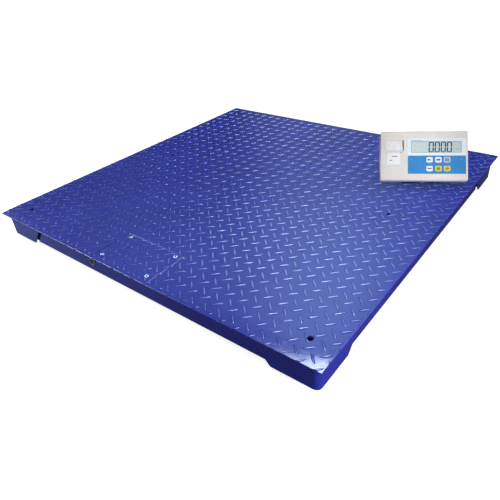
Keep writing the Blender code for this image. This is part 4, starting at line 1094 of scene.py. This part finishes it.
def floor_finish():
    """Near-white sweep: bright to the camera except under the deck, darker to the object that reflects it."""
    s = Shader("studio_floor")
    patch = s.ramp(s.noise(0.8, 2.0), (0.3, (0.95, 0.95, 0.95)), (0.7, (1.0, 1.0, 1.0)))
    s.finish(s.mix(0.5, patch, (0.30, 0.30, 0.30)), 0.9, Specular_IOR_Level=0.0)
    where = s.add("ShaderNodeSeparateXYZ")
    s.link(s.place, where, "Vector")
    sides = [math_node(s.tree, "ABSOLUTE", where.outputs[axis]) for axis in "XY"]
    reach = math_node(s.tree, "MAXIMUM", *sides)

    def glowing(under, colour, strength):
        """A glow added to a finish."""
        glow = s.add("ShaderNodeEmission")
        s.link(colour, glow, "Color")
        s.link(strength, glow, "Strength")
        both = s.add("ShaderNodeAddShader")
        s.link(under.outputs[0], both, 0)
        s.link(glow.outputs[0], both, 1)
        return both.outputs[0]

    seen = glowing(s.surface, patch, s.value(reach, 0.0, FLOOR_GLOW, *FLOOR_GLOW_EDGE))
    dim = s.add("ShaderNodeBsdfDiffuse")
    s.link(FLOOR_BOUNCE, dim, "Color")
    sheen = s.value(where.outputs["X"], *FLOOR_SHEEN, *FLOOR_SHEEN_SPAN)
    other = glowing(dim, FLOOR_SHEEN_TINT, sheen)
    path = s.add("ShaderNodeLightPath")
    choose = s.add("ShaderNodeMixShader")
    for socket, part in enumerate((path.outputs["Is Camera Ray"], other, seen)):
        s.link(part, choose, socket)
    s.link(choose.outputs[0], s.tree.nodes["Material Output"], "Surface")
    return s.material


def build_studio():
    bm = bmesh.new()
    bmesh.ops.create_grid(bm, x_segments=8, y_segments=8, size=20.0)
    floor = bpy.data.objects.new("studio_floor", to_mesh(bm, "studio_floor"))
    floor.data.materials.append(floor_finish())
    bpy.context.scene.collection.objects.link(floor)


def lamp(name, place, target, size, power, spread=180):
    """Rectangular light that is seen neither directly nor in reflections."""
    light = bpy.data.lights.new(name, "AREA")
    light.shape = "RECTANGLE"
    light.size, light.size_y = size
    light.energy = power
    light.spread = math.radians(spread)
    obj = bpy.data.objects.new(name, light)
    obj.location = place
    obj.rotation_euler = (Vector(target) - Vector(place)).to_track_quat("-Z", "Y").to_euler()
    obj.visible_camera = False
    obj.visible_glossy = False
    bpy.context.scene.collection.objects.link(obj)


def build_lamps():
    middle = FACE @ Vector((0, 0.08, 0))
    front = FACE @ Vector((0, 0.08, 1.3))
    lamp("face_lamp", front, middle, (0.12, 0.12), FACE_LAMP, spread=18)
    lamp("right_lamp", (1.30, -0.59, 0.22), (0.58, -0.1, 0.05), (0.25, 0.10), RIGHT_LAMP)
    lamp("front_lamp", (-0.60, -1.25, 0.25), (-0.25, -0.6, 0.05), (0.4, 0.2), FRONT_LAMP)


def build_world():
    """Three skies: white for the camera, light panels for reflections, a soft top light for the rest."""
    world = bpy.data.worlds.new("studio")
    bpy.context.scene.world = world
    world.use_nodes = True
    world.cycles.sampling_method = "NONE"
    tree = world.node_tree
    back = tree.nodes["Background"]
    way = tree.nodes.new("ShaderNodeTexCoord").outputs["Generated"]

    def calc(operation, *values):
        return math_node(tree, operation, *values)

    def towards(azimuth, elevation):
        return math_node(tree, "DOT_PRODUCT", way, heading(azimuth, elevation), kind=VECTOR, output="Value")

    def tinted(strength, colour, below):
        return math_node(tree, "MULTIPLY_ADD", colour, strength, below, kind=VECTOR)

    def rise(start, end, top=1.0):
        """Smooth rise from 0 to a top value between two elevations."""
        node = tree.nodes.new("ShaderNodeMapRange")
        node.interpolation_type = "SMOOTHSTEP"
        tree.links.new(height, node.inputs["Value"])
        node.inputs["From Min"].default_value = math.sin(math.radians(start))
        node.inputs["From Max"].default_value = math.sin(math.radians(end))
        node.inputs["To Max"].default_value = top
        return node.outputs["Result"]

    def edge(elevation):
        return rise(elevation - PANEL_BORDER, elevation + PANEL_BORDER)

    height = towards(0, 90)
    gloss = ROOM_GLOSS
    for azimuth, elevation, tightness, strength, colour in GLOWS:
        power = calc("MULTIPLY_ADD", towards(azimuth, elevation), tightness, -tightness)
        gloss = tinted(calc("MULTIPLY", calc("EXPONENT", power), strength), colour, gloss)
    for azimuth, width, low, high, strength in PANELS:
        ahead = towards(azimuth, 0)
        aside = calc("DIVIDE", calc("DIVIDE", towards(azimuth + 90, 0), ahead), math.tan(math.radians(width)))
        square = calc("MULTIPLY", aside, aside)
        falloff = calc("EXPONENT", calc("MULTIPLY", calc("MULTIPLY", square, square), -1.0))
        amount = calc("MULTIPLY", falloff, calc("SUBTRACT", edge(low), edge(high)))
        amount = calc("MULTIPLY", amount, calc("GREATER_THAN", ahead, 0.0))
        gloss = tinted(calc("MULTIPLY", amount, strength), PANEL_TINT, gloss)
    diffuse = tinted(rise(*SKY), (1.0, 1.0, 1.0), SKY_BASE)
    path = tree.nodes.new("ShaderNodeLightPath")
    lit = mix_node(tree, path.outputs["Is Glossy Ray"], diffuse, gloss)
    feed(tree, back.inputs["Color"], mix_node(tree, path.outputs["Is Camera Ray"], lit, (1.0, 1.0, 1.0)))


# Where the camera stands, the azimuth and elevation it looks along, and how far it leans.
CAMERA_PLACE = (0.9167, -1.1466, 0.8057)
CAMERA_AIM = (129.49869, -33.76600)
CAMERA_LEAN = -4.10104
CAMERA_LENS, CAMERA_SENSOR = 34.36, 36.0
CAMERA_SHIFT = (-0.01727, -0.00124)


def build_camera():
    lens = bpy.data.cameras.new("camera")
    lens.sensor_width = CAMERA_SENSOR
    lens.lens = CAMERA_LENS
    lens.shift_x, lens.shift_y = CAMERA_SHIFT
    level = heading(*CAMERA_AIM).to_track_quat("-Z", "Y").to_matrix().to_4x4()
    camera = bpy.data.objects.new("camera", lens)
    camera.matrix_world = (Matrix.Translation(CAMERA_PLACE) @ level
                           @ Matrix.Rotation(math.radians(CAMERA_LEAN), 4, "Z"))
    bpy.context.scene.collection.objects.link(camera)
    bpy.context.scene.camera = camera


build_plates()
build_overlay()
build_display()
build_keys()
build_printer()
build_case_lines()
build_sockets()
build_feet()
build_gap_shade_sheets()
build_knob_caps()
dress_nodes()
shade_reflections()
build_studio()
build_lamps()
build_world()
build_camera()
bpy.context.scene.view_settings.view_transform = "Standard"
